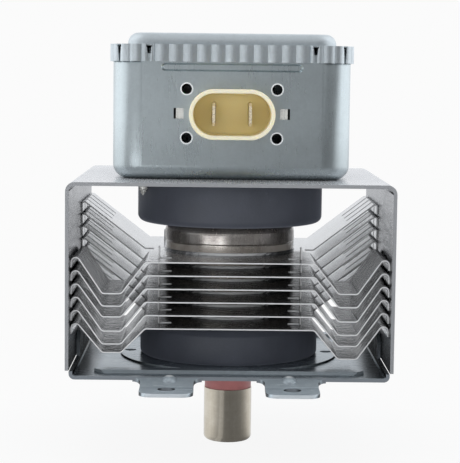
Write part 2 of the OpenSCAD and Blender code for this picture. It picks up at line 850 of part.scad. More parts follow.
module base_plate() {
    flat_half = ear_out - ear_bend_r;
    step_lap = 0.6;
    color([0.50, 0.56, 0.60])
        difference() {
            union() {
                difference() {
                    translate([-flat_half, -half_d, plate_z]) cube([2 * flat_half, yoke_d, plate_t]);
                    translate([0, 0, plate_z - past])
                        cylinder(h = plate_t + 2 * past, d = platform_d - 2 * step_lap);
                }
                translate([0, 0, plate_z + platform_rise]) cylinder(h = plate_t, d = platform_d);
                for (s = [0, 1]) mirror([s, 0, 0]) {
                    intersection() {
                        plate_ear();
                        translate([flat_half - 0.01, -half_d, 0]) cube([yoke_w, yoke_d, yoke_top]);
                    }
                }
                for (f = [0, 1]) mirror([0, f, 0]) {
                    edge_bead(bead_rise, 0, plate_top);
                    for (s = [-1, 1]) {
                        translate([s * lug_spacing / 2, 0, 0]) plate_lug();
                        translate([s * lug_boss_x, 0, 0]) lug_boss();
                    }
                }
            }
            for (f = [0, 1]) mirror([0, f, 0]) edge_bead(bead_rise, -plate_t / 2, plate_z - 0.01);
            translate([0, 0, plate_z - past]) cylinder(h = plate_t + 2 * past + 1, r = antenna_hole_r);
            for (s = [-1, 1])
                translate([s * plate_hole_x, 0, plate_z - past])
                    cylinder(h = plate_t + 2 * past + 1, d = plate_hole_d);
            for (x = [-1, 1], y = [-1, 1])
                translate([x * lug_spacing / 2, y * lug_hole_y, -past])
                    cylinder(h = plate_t + 2 * past, d = lug_hole_d);
            clinch_spots()
                translate([0, 0, wall_in - plate_t - 2 * past])
                    cylinder(h = plate_t + 4 * past, r = clinch_r + play);
        }
}

// Magnets
module upper_magnet() {
    r = upper_magnet_d / 2;
    rim = upper_magnet_rim;
    bore = magnet_bore / 2;
    color([0.20, 0.20, 0.22])
        rotate_extrude()
            difference() {
                union() {
                    translate([0, upper_magnet_z + rim]) square([r, upper_magnet_h - rim]);
                    translate([0, upper_magnet_z]) square([r - rim, upper_magnet_h]);
                    translate([r - rim, upper_magnet_z + rim]) circle(rim);
                }
                translate([-past, upper_magnet_z - past]) square([bore + past, upper_magnet_h + 2 * past]);
            }
}
module lower_magnet() {
    r = lower_magnet_d / 2;
    c = lower_magnet_chamfer;
    bore = magnet_bore / 2;
    foot = 0.6;
    color([0.20, 0.20, 0.22])
        turned([
            [bore, platform_top], [r - foot, platform_top], [r, platform_top + foot],
            [r, lower_magnet_top - c], [r - c, lower_magnet_top], [bore, lower_magnet_top]
        ]);
}

// Cooling fins
fin_middle = anode_z - fin_below_anode + fin_t / 2;
function front_arm(drop) = [
    [fin_start, 0], [fin_front_flat, 0], [fin_front_flat + fin_inner_run, -drop],
    [fin_front_flat + fin_inner_run + fin_fold_w, -drop], [fin_end_x - fin_top_w - 0.15, fin_over],
    [fin_end_x, fin_over], [fin_end_x, fin_over - fin_leg]
];
function rear_arm() =
    let (top_x = fin_end_x - fin_rear_top_w, rise = (top_x - fin_rear_flat) * tan(fin_rear_slope))
    [[fin_start, 0], [fin_rear_flat, 0], [top_x, rise], [fin_end_x, rise], [fin_end_x, rise - fin_leg]];
module fin_arms(drop) {
    half = fin_d / 2;
    slit_from = fin_end_x - (fin_end_x - fin_rear_flat) * fin_finger_share;
    along_y(-half, -fin_front_gap)
        polygon(sheet(rounded(front_arm(drop), fin_bend_r, fin_bend_steps), fin_t));
    difference() {
        along_y(fin_split, half)
            polygon(sheet(rounded(rear_arm(), fin_rear_bend_r, fin_bend_steps), fin_t));
        for (k = [1 : fin_fingers - 1])
            translate([slit_from, half * k / fin_fingers - fin_slit_w / 2, 0])
                cube([wall_in, fin_slit_w, yoke_under]);
    }
}
module fin_tabs(z0, z1, w0, w1) {
    for (sx = [0, 1], sy = [0, 1])
        mirror([sx, 0, 0]) mirror([0, sy, 0])
            translate([fin_tab_x + w0, -fin_d / 2 + fin_tab_in, z0]) cube([w1 - w0, fin_tab_w, z1 - z0]);
}
module cooling_fin(k) {
    gap = fin_pitch - fin_t;
    color([0.80, 0.80, 0.79])
        translate([0, 0, fin_middle + k * fin_pitch]) {
            difference() {
                union() {
                    translate([-fin_start, -fin_d / 2, -fin_t / 2]) cube([2 * fin_start, fin_d, fin_t]);
                    cylinder(h = fin_collar_h, r = fin_hole_r + fin_t);
                }
                translate([0, 0, -past]) cylinder(h = fin_collar_h + 2 * past, r = fin_hole_r);
                fin_tabs(-past, past, -gap - fin_t / 2, -fin_t / 2);
            }
            fin_tabs(-fin_t / 2, fin_t / 2 + gap, -fin_t / 2, fin_t / 2);
            for (s = [0, 1]) mirror([s, 0, 0]) fin_arms(fin_drop - fold_trim[s][k]);
        }
}
module cooling_fin_1() { cooling_fin(0); }
module cooling_fin_2() { cooling_fin(1); }
module cooling_fin_3() { cooling_fin(2); }
module cooling_fin_4() { cooling_fin(3); }
module cooling_fin_5() { cooling_fin(4); }
module cooling_fin_6() { cooling_fin(5); }

// Anode: one copper block with vanes, notched for the strap rings
function strap_level(up) = up > 0 ? vane_top - strap_clear - strap_h : vane_z + strap_clear;
module strap_notch(r, touches) {
    extra = touches ? 0 : strap_clear;
    deep = strap_clear + strap_h + extra;
    for (z = [vane_z - past, vane_top - deep])
        translate([r - strap_clear, -vane_t, z]) cube([strap_w + 2 * strap_clear, 2 * vane_t, deep + past]);
}
module anode_block() {
    color([0.62, 0.44, 0.34]) {
        turned([
            [pole_seat_r + play, anode_z], [anode_d / 2, anode_z], [anode_d / 2, anode_top],
            [pole_seat_r + play, anode_top], [pole_seat_r + play, anode_top - pole_t],
            [anode_in, anode_top - pole_t], [anode_in, anode_z + pole_t],
            [pole_seat_r + play, anode_z + pole_t]
        ]);
        for (k = [0 : vane_count - 1])
            rotate(360 * k / vane_count)
                difference() {
                    translate([vane_tip_r, -vane_t / 2, vane_z])
                        cube([anode_in + anode_wall / 2 - vane_tip_r, vane_t, vane_h]);
                    strap_notch(strap_inner_r, k % 2 == 0);
                    strap_notch(strap_outer_r, k % 2 == 1);
                }
    }
}
module strap(r, up) {
    color([0.74, 0.46, 0.32]) disc_ring(r + strap_w, r, strap_level(up), strap_level(up) + strap_h);
}
module upper_inner_strap() { strap(strap_inner_r, 1); }
module upper_outer_strap() { strap(strap_outer_r, 1); }
module lower_inner_strap() { strap(strap_inner_r, -1); }
module lower_outer_strap() { strap(strap_outer_r, -1); }

// Pole pieces: funnels seated in the anode's ends
module pole_piece(end, inward) {
    rim = end + inward * pole_t / 2;
    tip = rim + inward * pole_depth;
    color([0.55, 0.55, 0.56])
        rotate_extrude()
            polygon(sheet([
                [pole_seat_r, rim], [pole_flat_r, rim], [pole_tip_r, tip], [pole_bore_r, tip]
            ], pole_t));
}
module upper_pole_piece() { pole_piece(anode_top, -1); }
module lower_pole_piece() {
    difference() {
        pole_piece(anode_z, 1);
        translate([lead_hole_x, 0, anode_z]) cylinder(h = pole_depth + 2 * pole_t, r = lead_hole_r);
    }
}

// Seal cups
module upper_seal_cup() {
    skirt_r = anode_d / 2 - seal_t / 2 - play;
    bulge_r = skirt_r + seal_bulge;
    shoulder = upper_magnet_z - seal_t / 2;
    lip_z = anode_top + seal_t / 2;
    bulge_z = lip_z + seal_bulge;
    neck = neck_r - seal_t / 2;
    path = [
        [skirt_r, anode_top], [skirt_r, lip_z], [bulge_r, bulge_z], [bulge_r, shoulder],
        [neck, shoulder], [neck, stem_z]
    ];
    shoulder_bend = bend(path, 3, seal_shoulder_r - seal_t / 2, 8);
    neck_bend = bend(path, 4, neck_bend_r, 4);
    color([0.66, 0.63, 0.60])
        rotate_extrude()
            polygon(sheet(concat([path[0], path[1], path[2]], shoulder_bend, neck_bend, [path[5]]), seal_t));
}
module lower_seal_cup() {
    flange = anode_z - seal_t / 2;
    dish = lower_magnet_top + seal_t / 2;
    neck = neck_r - seal_t / 2;
    foot = ceramic_top + seal_t / 2;
    flange_r = anode_d / 2 - 4 * play;
    color([0.66, 0.63, 0.60])
        rotate_extrude()
            polygon(sheet(rounded([
                [flange_r, flange], [flange_r - 2.5, flange], [flange_r - 3.5, dish], [neck, dish],
                [neck, foot], [ceramic_in, foot]
            ], 0.45, 3), seal_t));
}

// Cathode
filament_steps = 10;
module filament() {
    turns = filament_turns * filament_steps;
    z0 = vane_z + hat_t + filament_wire / 2 - 0.6;
    z1 = vane_top - hat_t - filament_wire / 2 + 0.6;
    color([0.45, 0.45, 0.47])
        wire([for (k = [0 : turns]) let (a = 360 * k / filament_steps)
            [filament_r * cos(a), filament_r * sin(a), z0 + (z1 - z0) * k / turns]],
            filament_wire / 2, 6, [0, 0, 1]);
}
module upper_end_hat() {
    color([0.58, 0.58, 0.60]) disc_ring(hat_r, rod_r + 0.5, vane_top - 0.6, vane_top + hat_t - 0.6);
}
module lower_end_hat() {
    color([0.58, 0.58, 0.60]) disc_ring(hat_r, rod_r + play, vane_z - hat_t + 0.6, vane_z + 0.6);
}
module centre_rod() {
    crank = anode_top + 8;
    color([0.58, 0.58, 0.60])
        wire([
            [0, 0, vane_z - hat_t + 0.6], [0, 0, vane_top], [0, 0, crank],
            [-rod_spread, 0, stem_z - 4], [-rod_spread, 0, stem_top + ferrule_h - 1]
        ], rod_r, 10, [0, 1, 0]);
}
module side_rod() {
    crank = anode_top + 8;
    color([0.58, 0.58, 0.60])
        wire([
            [side_rod_x, 0, vane_top + hat_t - 0.6], [side_rod_x, 0, crank],
            [rod_spread, 0, stem_z - 4], [rod_spread, 0, stem_top + ferrule_h - 1]
        ], rod_r, 10, [0, 1, 0]);
}
module stem_ceramic() {
    groove = 0.7;
    color([0.80, 0.60, 0.60])
        difference() {
            turned([
                [0, stem_z], [neck_r, stem_z], [neck_r, stem_z + stem_h * 0.45],
                [neck_r - groove, stem_z + stem_h * 0.5], [neck_r - groove, stem_z + stem_h * 0.6],
                [neck_r, stem_z + stem_h * 0.65], [neck_r, stem_top], [0, stem_top]
            ]);
            for (s = [-1, 1])
                translate([s * rod_spread, 0, stem_z - past])
                    cylinder(h = stem_h + 2 * past, r = rod_r + slide);
        }
}
module stem_terminal(s) {
    color([0.70, 0.68, 0.62])
        translate([s * rod_spread, 0, 0]) {
            disc_ring(ferrule_flange_r, rod_r + slide, stem_top, stem_top + 0.8);
            disc_ring(ferrule_r, rod_r + slide, stem_top + 0.8, stem_top + ferrule_h);
        }
}
module stem_terminal_left() { stem_terminal(-1); }
module stem_terminal_right() { stem_terminal(1); }

// Antenna
module antenna_ceramic() {
    color([0.74, 0.48, 0.49]) disc_ring(ceramic_r, ceramic_in, -ceramic_down, ceramic_top);
}
module antenna_collar() {
    top = -ceramic_down;
    color([0.70, 0.68, 0.62])
        turned([
            [ceramic_in, top], [collar_r, top], [collar_r, top - collar_h],
            [exhaust_r + play, top - collar_h],
            [exhaust_r + play, top - collar_h + collar_t], [collar_r - collar_t, top - collar_h + collar_t],
            [collar_r - collar_t, top - collar_t], [ceramic_in, top - collar_t]
        ]);
}
module exhaust_tube() {
    top = -ceramic_down - collar_h + 2;
    pinch = top - exhaust_len + 3;
    color([0.72, 0.42, 0.28]) {
        disc_ring(exhaust_r, exhaust_in, pinch, top);
        along_y(-exhaust_r * 0.9, exhaust_r * 0.9)
            polygon([
                [-exhaust_r * 0.4, pinch + 0.2], [exhaust_r * 0.4, pinch + 0.2],
                [0.3, pinch - 3], [-0.3, pinch - 3]
            ]);
        disc_ring(exhaust_r, 0.2, pinch - 0.4, pinch + 0.2);
    }
}
module cap_outline(r, z_end, edge, top) {
    translate([0, z_end + edge]) square([r, top - z_end - edge]);
    translate([0, z_end]) square([r - edge, top - z_end]);
    translate([r - edge, z_end + edge]) circle(edge);
}
module antenna_cap() {
    r = antenna_d / 2;
    top = -ceramic_down;
    color([0.80, 0.77, 0.70])
        rotate_extrude()
            intersection() {
                difference() {
                    cap_outline(r, top - cap_len, cap_round, top);
                    cap_outline(r - cap_t, top - cap_len + cap_t, cap_round - cap_t, top + past);
                }
                translate([0, top - cap_len - past]) square([r + past, cap_len + 2 * past]);
            }
}
module antenna_lead() {
    color([0.72, 0.44, 0.30])
        wire([
            [lead_root_x, 0, vane_z - 0.02], [lead_root_x, 0, vane_z - 2],
            [lead_hole_x, 0, anode_z + 2], [lead_hole_x - 2, 0, anode_z - 2.5],
            [2, 0, platform_top + 3], [0, 0, platform_top], [0, 0, -ceramic_down - collar_h - 3]
        ], lead_r, 10, [0, 1, 0]);
}
module gasket_retainer() {
    inner = antenna_hole_r - slide;
    color([0.70, 0.69, 0.64]) {
        disc_ring(gasket_d / 2 - 0.6, inner, plate_z - 0.5, plate_z);
        disc_ring(inner + 0.5, inner, plate_z - 2.2, plate_z - 0.5);
    }
}
module gasket_ring() {
    inner = antenna_hole_r - slide + 0.5 + slide;
    outer = gasket_d / 2;
    top = plate_z - 0.5;
    low = -gasket_down;
    edge = 1;
    color([0.72, 0.70, 0.62])
        turned([
            [inner, low + edge], [inner + edge, low], [outer - edge, low], [outer, low + edge],
            [outer, top - edge], [outer - edge, top], [inner + edge, top], [inner, top - edge]
        ]);
}

filter_box();
filter_box_lid();
connector_housing();
terminal_blade_left();
terminal_blade_right();
capacitor_plate();
capacitor_body();
choke_coil_left();
choke_coil_right();
choke_core_left();
choke_core_right();
box_screws();
yoke_frame();
base_plate();
upper_magnet();
lower_magnet();
cooling_fin_1();
cooling_fin_2();
cooling_fin_3();
cooling_fin_4();
cooling_fin_5();
cooling_fin_6();
anode_block();
upper_inner_strap();
upper_outer_strap();
lower_inner_strap();
lower_outer_strap();
upper_pole_piece();
lower_pole_piece();
upper_seal_cup();
lower_seal_cup();
filament();
upper_end_hat();
lower_end_hat();
centre_rod();
side_rod();
stem_ceramic();
stem_terminal_left();
stem_terminal_right();
antenna_ceramic();
antenna_collar();
exhaust_tube();
antenna_cap();
antenna_lead();
gasket_ring();
gasket_retainer();
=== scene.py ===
"""Looks of a microwave oven's magnetron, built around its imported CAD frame.

Lengths are in metres, apart from the lens and the sensor, which Blender takes in millimetres."""
import json
import math

import bmesh
import bpy
from mathutils import Matrix, Vector


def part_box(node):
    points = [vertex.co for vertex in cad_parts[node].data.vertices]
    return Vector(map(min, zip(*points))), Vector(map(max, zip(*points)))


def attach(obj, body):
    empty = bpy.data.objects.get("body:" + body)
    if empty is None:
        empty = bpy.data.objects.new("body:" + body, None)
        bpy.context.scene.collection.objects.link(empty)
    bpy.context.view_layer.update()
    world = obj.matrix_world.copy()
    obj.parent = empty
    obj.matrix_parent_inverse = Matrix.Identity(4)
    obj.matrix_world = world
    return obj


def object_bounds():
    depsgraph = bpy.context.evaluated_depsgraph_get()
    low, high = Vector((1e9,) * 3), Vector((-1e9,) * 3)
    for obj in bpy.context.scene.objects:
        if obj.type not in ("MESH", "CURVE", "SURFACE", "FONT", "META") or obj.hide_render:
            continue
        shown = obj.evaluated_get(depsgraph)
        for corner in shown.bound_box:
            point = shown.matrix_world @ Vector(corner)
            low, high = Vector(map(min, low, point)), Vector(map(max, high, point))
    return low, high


MM = 0.001

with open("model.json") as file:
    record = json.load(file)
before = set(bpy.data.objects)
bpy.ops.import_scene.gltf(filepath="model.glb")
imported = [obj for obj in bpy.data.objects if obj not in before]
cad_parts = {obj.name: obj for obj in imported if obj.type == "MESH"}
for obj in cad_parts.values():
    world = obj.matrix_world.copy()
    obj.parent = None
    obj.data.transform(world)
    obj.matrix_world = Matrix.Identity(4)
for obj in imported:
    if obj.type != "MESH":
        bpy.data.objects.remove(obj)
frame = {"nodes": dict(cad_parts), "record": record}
cad_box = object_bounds()
nodes = frame["nodes"]
scene = bpy.context.scene
scene.view_settings.view_transform = "Standard"


# Camera at the photograph's angle, from a fit of the yoke's and the box's corners
CAMERA_AT = Vector((-4.30384, -472.58824, 85.5393)) * MM
CAMERA_PITCH = math.radians(5.59847)
CAMERA_YAW = math.radians(0.53548)
CAMERA_ROLL = math.radians(0.67924)
CAMERA_CLIP = (0.01, 20)
CAMERA_LENS = 124.63275
SENSOR = 36


def add_camera():
    forward = Vector((
        math.sin(CAMERA_YAW) * math.cos(CAMERA_PITCH),
        math.cos(CAMERA_YAW) * math.cos(CAMERA_PITCH),
        -math.sin(CAMERA_PITCH),
    ))
    level = Vector((math.cos(CAMERA_YAW), -math.sin(CAMERA_YAW), 0))
    upright = level.cross(forward)
    right = math.cos(CAMERA_ROLL) * level + math.sin(CAMERA_ROLL) * upright
    up = -math.sin(CAMERA_ROLL) * level + math.cos(CAMERA_ROLL) * upright
    data = bpy.data.cameras.new("camera")
    data.sensor_fit = "AUTO"
    data.sensor_width = SENSOR
    data.lens = CAMERA_LENS
    data.clip_start, data.clip_end = CAMERA_CLIP
    camera = bpy.data.objects.new("camera", data)
    turn = Matrix((right, up, -forward)).transposed().to_4x4()
    camera.matrix_world = Matrix.Translation(CAMERA_AT) @ turn
    scene.collection.objects.link(camera)
    scene.camera = camera


add_camera()


# Node trees. A noise mostly stays within one of these bands
MID_BAND = (0.3, 0.7)
WIDE_BAND = (0.25, 0.75)
NOISE_MIDDLE = 0.5
# The Mix node's sockets for colours
MIX_A = 6
MIX_B = 7
MIX_RESULT = 2


class Tree:
    """A node tree that is built with short calls. A value is a number or another node's output."""

    def __init__(self, tree):
        self.tree = tree
        tree.nodes.clear()

    def node(self, kind, values=None, **settings):
        node = self.tree.nodes.new(kind)
        for name, value in settings.items():
            setattr(node, name, value)
        for name, value in (values or {}).items():
            self.put(node.inputs[name], value)
        return node

    def put(self, socket, value):
        if isinstance(value, bpy.types.NodeSocket):
            self.tree.links.new(value, socket)
        else:
            socket.default_value = value

    def math(self, operation, a, b=0.0):
        node = self.node("ShaderNodeMath", operation=operation)
        self.put(node.inputs[0], a)
        self.put(node.inputs[1], b)
        return node.outputs[0]

    def add(self, first, *others):
        for other in others:
            first = self.math("ADD", first, other)
        return first

    def less(self, a, b):
        return self.math("SUBTRACT", a, b)

    def times(self, first, *others):
        for other in others:
            first = self.math("MULTIPLY", first, other)
        return first

    def size(self, value):
        return self.math("ABSOLUTE", value)

    def length(self, a, b):
        """The length of a vector with these two parts."""
        return self.math("SQRT", self.add(self.math("POWER", a, 2.0), self.math("POWER", b, 2.0)))

    def remap(self, value, low, high, to_low, to_high, kind="LINEAR"):
        """From `to_low` at `low` to `to_high` at `high`, and level past both."""
        node = self.node("ShaderNodeMapRange", {
            "Value": value, "From Min": low, "From Max": high, "To Min": to_low, "To Max": to_high,
        }, interpolation_type=kind)
        return node.outputs["Result"]

    def smooth(self, value, low, high, to_low=0.0, to_high=1.0):
        return self.remap(value, low, high, to_low, to_high, "SMOOTHSTEP")

    def between(self, share, a, b):
        """`a` where the share is 0, `b` where it is 1."""
        return self.remap(share, 0, 1, a, b)

    def vary(self, noise, low, high, band=MID_BAND):
        """From `low` to `high` as a noise goes through its band."""
        return self.remap(noise, band[0], band[1], low, high)

    def point(self):
        """The object coordinates, axis by axis."""
        vector = self.node("ShaderNodeTexCoord").outputs["Object"]
        return self.node("ShaderNodeSeparateXYZ", {"Vector": vector}).outputs

    def normal(self):
        """The surface's direction, axis by axis."""
        vector = self.node("ShaderNodeNewGeometry").outputs["Normal"]
        return self.node("ShaderNodeSeparateXYZ", {"Vector": vector}).outputs

    def unit(self, vector):
        node = self.node("ShaderNodeVectorMath", {"Vector": vector}, operation="NORMALIZE")
        return node.outputs["Vector"]

    def grey(self, value):
        return self.node("ShaderNodeCombineColor", {
            "Red": value, "Green": value, "Blue": value,
        }).outputs["Color"]

    def mix(self, share, a, b, blend="MIX"):
        node = self.node("ShaderNodeMix", {"Factor": share}, data_type="RGBA", blend_type=blend)
        self.put(node.inputs[MIX_A], a)
        self.put(node.inputs[MIX_B], b)
        return node.outputs[MIX_RESULT]

    def place(self, scale=(1, 1, 1), turn=(0, 0, 0)):
        """Object coordinates in millimetres, scaled and turned."""
        mapping = self.node("ShaderNodeMapping", {
            "Vector": self.node("ShaderNodeTexCoord").outputs["Object"],
            "Rotation": turn,
            "Scale": tuple(s / MM for s in scale),
        })
        return mapping.outputs["Vector"]

    def noise(self, scale, detail, rough, stretch=(1, 1, 1), turn=(0, 0, 0)):
        """Noise whose features repeat about `scale` times a millimetre."""
        node = self.node("ShaderNodeTexNoise", {
            "Vector": self.place(stretch, turn), "Scale": scale, "Detail": detail, "Roughness": rough,
        })
        return node.outputs["Fac"]

    def cells(self, scale, output):
        """Cells, about `scale` a millimetre: their Color, or the Distance from their middle."""
        node = self.node("ShaderNodeTexVoronoi", {"Vector": self.place(), "Scale": scale}, feature="F1")
        return node.outputs[output]

    def mix_shader(self, share, a, b):
        """Shader `a` where the share is 0, `b` where it is 1."""
        node = self.node("ShaderNodeMixShader", {"Fac": share})
        self.put(node.inputs[1], a.outputs[0])
        self.put(node.inputs[2], b.outputs[0])
        return node

    def output(self, kind, shader):
        self.put(self.node(kind).inputs["Surface"], shader.outputs[0])


def rgb(r, g, b):
    """A linear colour from bytes on the sRGB curve."""
    def linear(v):
        v /= 255
        return v / 12.92 if v <= 0.04045 else ((v + 0.055) / 1.055) ** 2.4
    return (linear(r), linear(g), linear(b), 1.0)


def scaled(colour, k):
    return (colour[0] * k, colour[1] * k, colour[2] * k, 1.0)


def blank_material(name):
    material = bpy.data.materials.new(name)
    material.use_nodes = True
    return material, Tree(material.node_tree)


materials = {}


def new_material(name, metallic, **sockets):
    """Keeps a new material under the name of a slot of the record, and gives its tree and shader."""
    materials[name], tree = blank_material(name)
    shader = tree.node("ShaderNodeBsdfPrincipled", {"Metallic": metallic})
    for socket, value in sockets.items():
        shader.inputs[socket.replace("_", " ")].default_value = value
    tree.output("ShaderNodeOutputMaterial", shader)
    return tree, shader


def add_bump(tree, shader, height, distance, strength):
    bump = tree.node("ShaderNodeBump", {"Height": height, "Distance": distance, "Strength": strength})
    tree.put(shader.inputs["Normal"], bump.outputs["Normal"])


# Sheet metal. A pattern is given by its repeats a millimetre, its detail and its roughness
CLOUD = (0.07, 3, 0.55)
CLOUD_ROUGH = (-0.03, 0.04)
FINE = (1.4, 4, 0.6)
FINE_TONE = 0.03
FINE_RELIEF = 0.3
STREAK = (2.2, 3, 0.55)
STREAK_TONE = 0.6
STREAK_ROUGH = 0.18
STREAK_RELIEF = 0.6
CRYSTALS = 0.55
CRYSTAL_BAND = (0.2, 0.8)
SCRATCH = (1.1, 1.0, 0.4)
SCRATCH_STRETCH = (1, 1, 0.02)
SCRATCH_TURN = (0.5, 0.3, 0.2)
SCRATCH_W = 0.012
SCRATCH_PATCH = (0.22, 2, 0.5)
SCRATCH_PATCH_BAND = (0.56, 0.62)
SCRATCH_SHARE = 0.3
SCRATCH_TONE = 1.2
SCRATCH_POLISH = 0.16
EDGE_LEAN = (0.75, 0.95)
EDGE_ROUGH = 0.2
EDGE_METAL = 0.35
# The colour of painted highlights
HIGHLIGHT_COLOUR = rgb(236, 240, 242)
RELIEF = 0.02 * MM


def scratches(tree):
    """Sparse thin lines along one direction: 1 on a scratch, 0 elsewhere."""
    lines = tree.noise(*SCRATCH, SCRATCH_STRETCH, SCRATCH_TURN)
    line = tree.remap(tree.size(tree.less(lines, NOISE_MIDDLE)), 0, SCRATCH_W, 1, 0)
    patch = tree.vary(tree.noise(*SCRATCH_PATCH), 0, 1, SCRATCH_PATCH_BAND)
    return tree.times(line, patch)


def sheet_metal(name, colour, rough, grain, spread, spangle, scratch, metal=1.0, relief=0.5,
                edge=None, shade=None, dull=None, wave=None, painted_highlight=None):
    """Plated or rolled sheet: cloudy tone, faint crystals, a drawing grain, a few scratches, sheared edges.

    `spread`, `spangle` and `scratch` say how strong the clouds, crystals and scratches are, and `metal` how
    metallic it is. `edge` is the colour of the sheared edges, or a function that gives it. The rest are
    functions of the place: `dull` gives the metallic share, `shade` darkens as painted shade and
    reflections, `wave` buckles and `painted_highlight` brightens as painted highlights."""
    tree, shader = new_material(name, metal)
    cloud = tree.noise(*CLOUD)
    fine = tree.noise(*FINE)
    streak = tree.noise(*STREAK, grain)
    crystal = tree.node("ShaderNodeRGBToBW", {"Color": tree.cells(CRYSTALS, "Color")}).outputs["Val"]
    scar = scratches(tree)
    tone = tree.add(
        tree.vary(cloud, 1 - spread, 1 + spread),
        tree.vary(streak, -spread * STREAK_TONE, spread * STREAK_TONE, WIDE_BAND),
        tree.vary(fine, -FINE_TONE, FINE_TONE),
        tree.vary(crystal, -spangle, spangle, CRYSTAL_BAND),
    )
    if shade is not None:
        dark = shade(tree)
        tone = tree.times(tone, dark)
        tree.put(shader.inputs["Specular Tint"], tree.grey(dark))
    base = tree.mix(1.0, colour, tree.grey(tone), "MULTIPLY")
    base = tree.mix(tree.times(scar, scratch * SCRATCH_SHARE), base, scaled(colour, SCRATCH_TONE))
    roughness = tree.vary(streak, rough * (1 - STREAK_ROUGH), rough * (1 + STREAK_ROUGH), WIDE_BAND)
    roughness = tree.add(roughness, tree.vary(cloud, *CLOUD_ROUGH))
    roughness = tree.less(roughness, tree.times(scar, scratch * SCRATCH_POLISH))
    metallic = metal
    # Painted highlights: brighter and less metallic where the function gives 1
    if painted_highlight is not None:
        rim = painted_highlight(tree)
        base = tree.mix(rim, base, HIGHLIGHT_COLOUR)
        metallic = tree.between(rim, metal, EDGE_METAL)
    if dull is not None:
        metallic = dull(tree)
    if edge is not None:
        cut = tree.smooth(tree.size(tree.normal()["Y"]), *EDGE_LEAN)
        base = tree.mix(cut, base, edge(tree) if callable(edge) else edge)
        roughness = tree.add(roughness, tree.times(cut, EDGE_ROUGH))
        metallic = tree.between(cut, metallic, EDGE_METAL)
    tree.put(shader.inputs["Base Color"], base)
    tree.put(shader.inputs["Roughness"], roughness)
    tree.put(shader.inputs["Metallic"], metallic)
    height = tree.add(tree.times(streak, STREAK_RELIEF), tree.times(fine, FINE_RELIEF))
    height = tree.less(height, tree.times(scar, scratch))
    if wave is not None:
        height = tree.add(height, wave(tree))
    add_bump(tree, shader, height, RELIEF, relief)


# The fins' colour has painted shade and reflections: dark on the front arms' walls and flats and on the flat
# by the tube, except on top of the uppermost fin, on its left, which stays light so that the tube mirrors it
# light. A pair of limits says where a change starts and where it is complete
FIN_FRONT = (-1 * MM, -8 * MM)
FIN_TUBE_X = (19.2 * MM, 24.5 * MM)
FIN_TUBE_SHADE = 0.45
FIN_TOP_Z = (33.7 * MM, 33.9 * MM)
FIN_TOP_X = (6 * MM, -12 * MM)
FIN_FLAT_X = (28 * MM, 29 * MM)
FIN_FLAT_LEAN = (0.88, 0.98)
FIN_FLAT_SHADE = 0.55
FIN_UP_LEAN = (0.1, 0.3)
FIN_WALL_LEAN = (0.3, 0.6)
FIN_WALL_SHADE = 0.5
FIN_RISE_LEAN = (-0.3, -0.6)
FIN_RISE_SHADE = 0.5
FIN_BUCKLE = (0.45, 2, 0.5)
FIN_WAVE = 0.5 * MM
FIN_EDGE = rgb(214, 215, 216)


def fin_front(tree):
    """1 on the front arms, 0 on the rear ones."""
    return tree.smooth(tree.point()["Y"], *FIN_FRONT)


def fin_wave(tree):
    """The front arms are a little buckled by their folding."""
    return tree.times(tree.noise(*FIN_BUCKLE), fin_front(tree), FIN_WAVE / RELIEF)


def fin_shade(tree):
    """Painted shade: 1 on the rear arms; lower where the front arms mirror the tube and the undersides."""
    point, normal = tree.point(), tree.normal()
    out = tree.size(point["X"])
    inward = tree.times(normal["X"], tree.times(tree.math("SIGN", point["X"]), -1.0))
    top = tree.times(tree.smooth(point["Z"], *FIN_TOP_Z), tree.smooth(point["X"], *FIN_TOP_X))
    tube = tree.smooth(out, *FIN_TUBE_X, tree.between(top, FIN_TUBE_SHADE, 1.0), 1.0)
    flat = tree.times(tree.smooth(normal["Z"], *FIN_FLAT_LEAN), tree.smooth(out, *FIN_FLAT_X))
    up = tree.smooth(normal["Z"], *FIN_UP_LEAN)
    wall = tree.times(tree.smooth(inward, *FIN_WALL_LEAN), up)
    rise = tree.times(tree.smooth(inward, *FIN_RISE_LEAN), up)
    dark = tree.times(
        tube,
        tree.between(flat, 1, FIN_FLAT_SHADE),
        tree.between(wall, 1, FIN_WALL_SHADE),
        tree.between(rise, 1, FIN_RISE_SHADE),
    )
    return tree.between(fin_front(tree), 1, dark)


# The plate: dull lugs. Painted shade darkens the lugs towards their roots, the ears, the bead, the flat top,
# most near its ends, and the walls in the lugs' holes; painted highlights sit on the lugs' bosses and lips
PLATE_SHADE = 0.8
PLATE_END = (35 * MM, 41 * MM)
PLATE_END_SHADE = 0.4
PLATE_LEAN = (0.5, 0.2)
PLATE_METAL = 0.85
PLATE_EDGE = rgb(124, 130, 136)
EAR_LEAN = (0.6, 0.9)
EAR_SHADE = 0.12
BEAD_BLEND = 0.5 * MM
BEAD_SHADE = 0.5
LUG_FROM = 38.6 * MM
LUG_BLEND = 1 * MM
LUG_TIP = 51 * MM
LUG_ROOT_SHADE = 0.6
LUG_METAL = 0.25
LUG_LIP_HIGHLIGHT = rgb(196, 203, 208)
LUG_HOLE = (17 * MM, 47.2 * MM)
LUG_HOLE_R = (2.5 * MM, 2.35 * MM)
LUG_HOLE_SHADE = 0.25
BOSS = (16.4 * MM, 40 * MM)
BOSS_R = (1.5 * MM, 0.5 * MM)


def plate_distance(tree, centre):
    """How far a point is, seen from above, from the nearest of four like places on the lugs."""
    point = tree.point()
    x = tree.less(tree.size(point["X"]), centre[0])
    y = tree.less(tree.size(point["Y"]), centre[1])
    return tree.length(x, y)


def plate_flat(tree):
    """1 on the flat top between the lugs and on the ears, 0 on the lugs and the sides of the bead."""
    inner = tree.smooth(tree.size(tree.point()["Y"]), LUG_FROM + LUG_BLEND, LUG_FROM)
    return tree.times(inner, tree.smooth(tree.size(tree.normal()["Y"]), *PLATE_LEAN))
